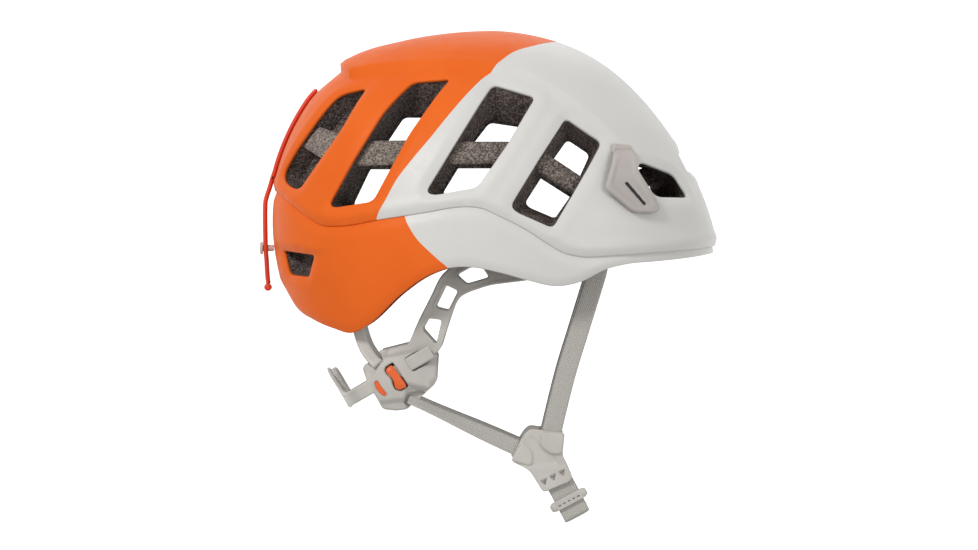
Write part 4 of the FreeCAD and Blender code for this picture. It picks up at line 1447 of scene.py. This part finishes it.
FOLD = np.array([60.5, 0, -155.8])
STUB_TOP = np.array([49.4, 0, -135.0])
DOWN = unit(FOLD - STUB_TOP)
ASIDE = np.array([-DOWN[2], 0, DOWN[0]])
BUCKLE_Y = 28.0
BUCKLE_HALF = 15.5
YOKE = [(19, -121), (25, -108), (28, -103.5), (31, -101), (52.5, -103.5), (51, -117.5),
        (57, -130), (56, -133.5), (40.5, -140), (38.5, -139.5), (31, -127.5), (29, -126)]
YOKE_HOLES = [[(37.3, -133.6), (41.4, -131.5), (40.5, -136.1)],
              [(42.9, -130.6), (46.8, -128.7), (46, -133.3)],
              [(48.5, -127.9), (52.3, -126.1), (51.7, -130.4)]]
YOKE_FRONT_PAD = [(38.2, -103.4), (51.3, -104.6), (50.2, -116.5), (43.5, -116), (38, -111.6)]
YOKE_REAR_PAD = [(25.8, -110.5), (29.4, -112.4), (32, -117.6), (31.6, -123.6), (20, -120.4)]


def to_side(side, points):
    """Points given for the left, put on one side."""
    return [(x, side * y, z) for x, y, z in points]


def make_straps(side, word):
    strap_body = "strap_" + word
    path = bent(to_side(side, [(74.5, 72.5, 9), (72.9, 69.5, -2), (70.6, 67, -10.5), (61.5, 65, -40),
                               (53, 63.3, -68), (44.6, 61.2, -102), (43.2, 61.2, -108.3)]))
    piece = ribbon("front_webbing_" + word, path, 12.0, 1.6)
    hand_over(piece, strap_body, "front_strap_" + word)

    path = bent(to_side(side, [(-77.8, 67.4, -22), (-75.6, 67.6, -35.8), (-72.2, 68.4, -48.0),
                               (-68.2, 71.5, -55.4), (-64.4, 74.6, -59.6), (-62.6, 75.2, -61.2)]))
    piece = ribbon("rear_webbing_upper_" + word, path, 7.4, 2.4, material=GREY)
    hand_over(piece, None, "rear_strap_" + word,
              ("root", "cradle", (-76.5, side * 67.5, -30), (-67.0, side * 71, -55)))

    path = bent(to_side(side, [(-44, 74.2, -82.6), (-37, 73.4, -85.8), (-20, 69.9, -93.6), (2, 65.4, -103.6),
                               (18, 62.2, -110.8), (27, 60.9, -114.8)]))
    piece = ribbon("rear_webbing_lower_" + word, path, 9.8, 1.6,
                       across=((0.25, side * 0.74, -0.62), (0.37, 0, -0.93)))
    hand_over(piece, None, "rear_webbing_" + word,
              ("cradle", strap_body, (-38, side * 72.5, -88), (12, side * 63.5, -108.4)))

    outline = eased(YOKE, 2.4, 0.8)
    holes = [eased(hole, 0.7, 0.45) for hole in YOKE_HOLES]
    front_pad, rear_pad = eased(YOKE_FRONT_PAD, 2.5), eased(YOKE_REAR_PAD, 2.5)
    ridge = eased([(31, -106), (34, -108), (38.5, -115), (46.5, -119.5), (46.5, -122), (36, -123)], 2.5)

    def top(points):
        height = 63.9 + swell(points, front_pad, 1.7, 1.3) + swell(points, rear_pad, 1.7, 1.3)
        return height - swell(points, ridge, 0.6, 1.6) + 1.2 * smoothstep(-points[:, 1], 123, 126)

    soup = Soup()
    relief(soup, outline, top, 62.0, on_plane(side), holes=holes, spacing=0.85, radius=0.9)
    hand_over(soup.piece("strap_yoke_" + word, GREY, sharp=50), strap_body, "yoke_" + word)

    fold_side = np.array([0, side * 61.0, 0])
    inward = np.array([0, -side, 0])
    path = [STUB_TOP + fold_side + DOWN * down for down in (-2.5, 8, 16)] + [FOLD + fold_side - DOWN * 1.0]
    piece = ribbon("chin_webbing_upper_" + word, bent(path), 16.6, 1.6, across=ASIDE)
    hand_over(piece, strap_body, "chin_tail_" + word)

    level_start = FOLD - DOWN * 0.8 + np.array([0, side * 58.5, 0])
    reach = (-BUCKLE_HALF, 0) if side == RIGHT else (BUCKLE_HALF + 1.0, 0.4)
    end = FOLD - DOWN * 2.3 + np.array([0, BUCKLE_Y + reach[0], reach[1]])
    corner = FOLD + fold_side
    bend = [corner - DOWN * 2.8, corner - DOWN * 1.5, corner + inward * 0.6 - DOWN * 0.75]
    run = [level_start + (end - level_start) * u for u in (0.0, 0.06, 0.2, 0.45, 0.7, 1.0)]
    piece = ribbon("chin_webbing_" + word, bent(bend + run, 12), 16.6, 1.6, across=ASIDE)
    hand_over(piece, None, "chin_strap_" + word,
              (strap_body, "chin_" + word, corner, corner + inward * 9))


for side, word in WORD.items():
    make_straps(side, word)


def make_keeper():
    centre = STUB_TOP + DOWN * 11.5 + np.array([0, -61.0, 0])
    outer_a, outer_b = 10.6, 3.15
    inner_a, inner_b = 8.9, 1.35
    turn = np.linspace(0, 2 * math.pi, 56, endpoint=False)

    def super_ring(a, b, power, w):
        c, s = np.cos(turn), np.sin(turn)
        x = a * np.sign(c) * np.abs(c) ** (2 / power)
        y = b * np.sign(s) * np.abs(s) ** (2 / power)
        return centre + ASIDE * x[:, None] + np.array([0, 1, 0]) * y[:, None] - DOWN * w

    soup = Soup()
    rows = [super_ring(outer_a - pull, outer_b - pull, 3.2, w) for w, pull in (
        (-2.6, 0.35), (-2.9, 0.1), (-2.2, 0.0), (-0.8, 0.05), (0.8, 0.05), (2.2, 0.0), (2.9, 0.1), (2.6, 0.35))]
    inner = [super_ring(inner_a, inner_b, 5, w) for w in (2.75, 2.0, 0, -2.0, -2.75)]
    lip_top = super_ring((outer_a + inner_a) / 2 - 0.2, (outer_b + inner_b) / 2, 4, 3.0)
    lip_low = super_ring((outer_a + inner_a) / 2 - 0.2, (outer_b + inner_b) / 2, 4, -3.0)
    soup.loft([lip_low] + rows + [lip_top] + inner + [lip_low])
    for k in (-1, 1):
        turned(soup, [(-2.6, 1.2), (-2.3, 2.2), (-1.6, 2.75), (0, 2.9), (1.6, 2.75), (2.3, 2.2), (2.6, 1.2)],
               centre + ASIDE * k * 9.6, -DOWN, count=28)
    hand_over(soup.piece("strap_keeper_loop", GREY, 0.008, sharp=55), "keeper", "strap_keeper")
    # The stitches are coloured dark as painted shade for the recessed dashes.
    soup = Soup()
    starts = [centre + ASIDE * a + np.array([0, -3.15, 0]) + DOWN * 0.4 for a in (-6.4, -3.2, 0, 3.2, 6.4)]
    stitch_rows(soup, starts, ASIDE, 1.9, 0.34)
    hand_over(soup.piece("keeper_stitches", STITCH_SHADE, 0.004), "keeper", "strap_keeper")


def make_buckle():
    normal = np.cross((0, 1, 0), ASIDE)
    sense = -1 if normal[2] > 0 else 1
    centre = FOLD - DOWN * 2.3 + np.array([0, BUCKLE_Y, 0])
    for name, way, body in (("buckle_male", 1, "chin_right"), ("buckle_female", -1, "chin_left")):
        middle = centre + normal * sense * way * 2.3
        outline = eased([(-15.2, -6.4), (-12, -8.3), (12, -8.3), (15.2, -6.4), (15.2, 6.4), (12, 8.3),
                         (-12, 8.3), (-15.2, 6.4)], 2.2, 0.9)
        facing = normal * sense * way
        ring = circle(6.4, 40)
        bar = eased([(-12.6, -7.6), (-10.2, -7.6), (-10.2, 7.6), (-12.6, 7.6)], 0.9, 0.6)
        bar = bar if body == "chin_right" else bar * (-1, 1)

        def top(points):
            height = 2.05 - 0.0009 * points[:, 0] ** 2 - step_in(points, ring, 0.35, 0.5)
            return height - step_in(points, bar, 0.9, 0.3)

        soup = Soup()
        place = axes_place(middle, (0, 1, 0), ASIDE, facing)
        relief(soup, outline, top, -2.05, place, lines=[ring, bar], spacing=0.95, radius=1.0)
        hand_over(soup.piece(name + "_moulding", DARK, sharp=50), body, name)
        soup = Soup()
        turned(soup, [(-1.1, 4.6), (-1.0, 5.0), (1.0, 5.0), (1.1, 4.6)], middle, facing, count=44)
        hand_over(soup.piece(name + "_disc", STEEL, sharp=40), body, name + "_magnet")


make_keeper()
make_buckle()

# ------------------------------------------------------------------ rear elastic

TAIL = [(-135.6, 40), (-135.8, 30), (-135.4, 10), (-134.9, 4), (-134.3, -7), (-133.6, -12.5)]


def make_elastic():
    heights = np.array([109.5, 104, 96, 88, 80, 72, 64, 57, 52.8])
    rear = level(heights)[1]
    spots = np.stack([rear, 0 * rear, heights], 1)
    lift = (1.45 - sinkage(spots, True))[:, None]
    path = bent(spots + dome_normals(spots) * lift, 12)
    piece = ribbon("rear_elastic_band", path, 8.0, 2.9, across=(0, 1, 0), material=ELASTIC)
    hand_over(piece, "root", "rear_elastic")
    hanging = bent([(x, 0, z) for x, z in TAIL], 10)
    ahead = np.gradient(hanging, axis=0)
    ahead /= np.linalg.norm(ahead, axis=1)[:, None]
    hanging += np.cross(ahead, (0, 1, 0)) * 1.45
    tail = bent([path[-9], path[-5], path[-1], path[-1] + (hanging[0] - path[-1]) * (0.28, 0, 0.33),
                 path[-1] + (hanging[0] - path[-1]) * (0.68, 0, 0.68)] + list(hanging[::3]) + [hanging[-1]], 8)
    piece = ribbon("rear_elastic_tail", tail, 8.0, 2.9, across=(0, 1, 0), material=ELASTIC)
    hand_over(piece, None, "elastic_tail",
              ("root", "lamp_loop", (-132.2, 0, 54), (-133.8, 0, 44)))
    soup = Soup()
    turned(soup, [(-4, 1.2), (-3.8, 2.0), (-3.2, 2.35), (3.2, 2.35), (3.8, 2.0), (4, 1.2)], (-132.5, 0, -13.8),
           (0, 1, 0), count=36)
    hand_over(soup.piece("rear_elastic_bulb", ELASTIC, sharp=50), "lamp_loop", "elastic_tail")
    soup = Soup()
    turned(soup, [(-137.6, 1.6), (-137.5, 3.1), (-137.1, 3.75), (-136.4, 4.0), (-135.75, 3.9), (-135.7, 2.0),
                  (-128.8, 1.95)], (0, 0, 10.6), (1, 0, 0), count=40)
    hand_over(soup.piece("rear_elastic_stud", STUD, sharp=40), "lamp_loop", "elastic_stud")


make_elastic()

# ------------------------------------------------------------------ crown core and comfort pads

def make_core():
    """The softer black core under the crown."""
    scale = tuple(1 - 2 * a / b for a, b in ((14.4, 282), (14.4, 214))) + (1 - 14.4 / TOP,)
    line = around(lambda x: 97.0 + 0 * x, 240, (CAVITY[0] * 1.004, CAVITY[1] * 1.004, CAVITY[2] * 1.003))
    spots = lattice(1.25, 4.0)
    flat = to_disc(line)
    keep = within(spots, flat * 0.995)
    verts, faces = cut_out(*fill_flat(spots[keep], [flat], tolerance=1e-6), flat)
    gap = nearest(verts * 100, flat * 100)
    under = from_disc(verts, CAVITY)
    normals = dome_normals(under, CAVITY)
    round_off = arc_drop(gap, 3.0)
    soup = Soup()
    soup.add(under - normals * (0.25 - 0.8 * round_off)[:, None], faces)
    soup.add(from_disc(verts, scale), faces[:, ::-1])
    low = from_disc(flat, CAVITY)
    soup.loft([low - dome_normals(low, CAVITY) * (0.25 - 0.8 * 3.0), from_disc(flat, scale)])
    hand_over(soup.piece("crown_core_foam", CORE, 0.02, sharp=60), "root", "crown_core")


CAVITY_MEAN = 85
PAD_THICK = 3.6


def make_pad(name, node, outline):
    """A stitched comfort pad on the inner wall, from its outline on the flat disc."""
    low, high = outline.min(0), outline.max(0)
    pitch = 1.4 / CAVITY_MEAN
    grid = np.stack(np.meshgrid(*(np.arange(low[k], high[k], pitch) for k in (0, 1))), -1).reshape(-1, 2)
    grid = grid[within(grid, outline) & (nearest(grid * CAVITY_MEAN, outline * CAVITY_MEAN) > 0.8)]
    verts, faces = cut_out(*fill_flat(grid, [outline], tolerance=1e-6), outline)
    gap = nearest(verts * CAVITY_MEAN, outline * CAVITY_MEAN)
    wall = from_disc(verts, CAVITY)
    normals = dome_normals(wall, CAVITY)
    puff = PAD_THICK * (1 - (1 - np.clip(gap / 4.5, 0, 1)) ** 2) ** 0.5
    seam_dip = 0.5 * np.exp(-((gap - 3.2) / 0.6) ** 2)
    soup = Soup()
    soup.add(wall - normals * (0.35 + np.maximum(puff - seam_dip, 0))[:, None], faces)
    soup.add(wall - normals * 0.25, faces[:, ::-1])
    ring = from_disc(outline, CAVITY)
    ring_normals = dome_normals(ring, CAVITY)
    soup.loft([ring - ring_normals * 0.35, ring - ring_normals * 0.25])
    pad = soup.piece(name, PAD, 0.02, sharp=80)
    hand_over(pad, "root", node)


def pad_outline(corners, cut, spot_at, low):
    """A pad's edge on the cavity wall; spot_at puts a corner's two numbers and the unknown third in place."""
    loop = []
    for a, b in eased(corners, cut, 1.2):
        third = halved(low, 140.0, 40, lambda c: outside(np.array([spot_at(a, b, c)]), CAVITY)[0] > 1)
        loop.append(spot_at(a, b, third))
    return to_disc(np.array(loop))


def brow_outline():
    corners = [(-58, 10), (58, 10), (58, 32), (-58, 32)]
    return pad_outline(corners, 7.0, lambda y, z, x: (x, y, z), 10.0)


def crown_outline(rear, front):
    corners = [(rear, -28), (front, -28), (front, 28), (rear, 28)]
    return pad_outline(corners, 8.0, lambda x, y, z: (x, y, z), 20.0)


make_core()
make_pad("forehead_cushion", "forehead_pad", brow_outline())
make_pad("crown_cushion_front", "crown_pad_front", crown_outline(22, 52))
make_pad("crown_cushion_rear", "crown_pad_rear", crown_outline(-60, -30))
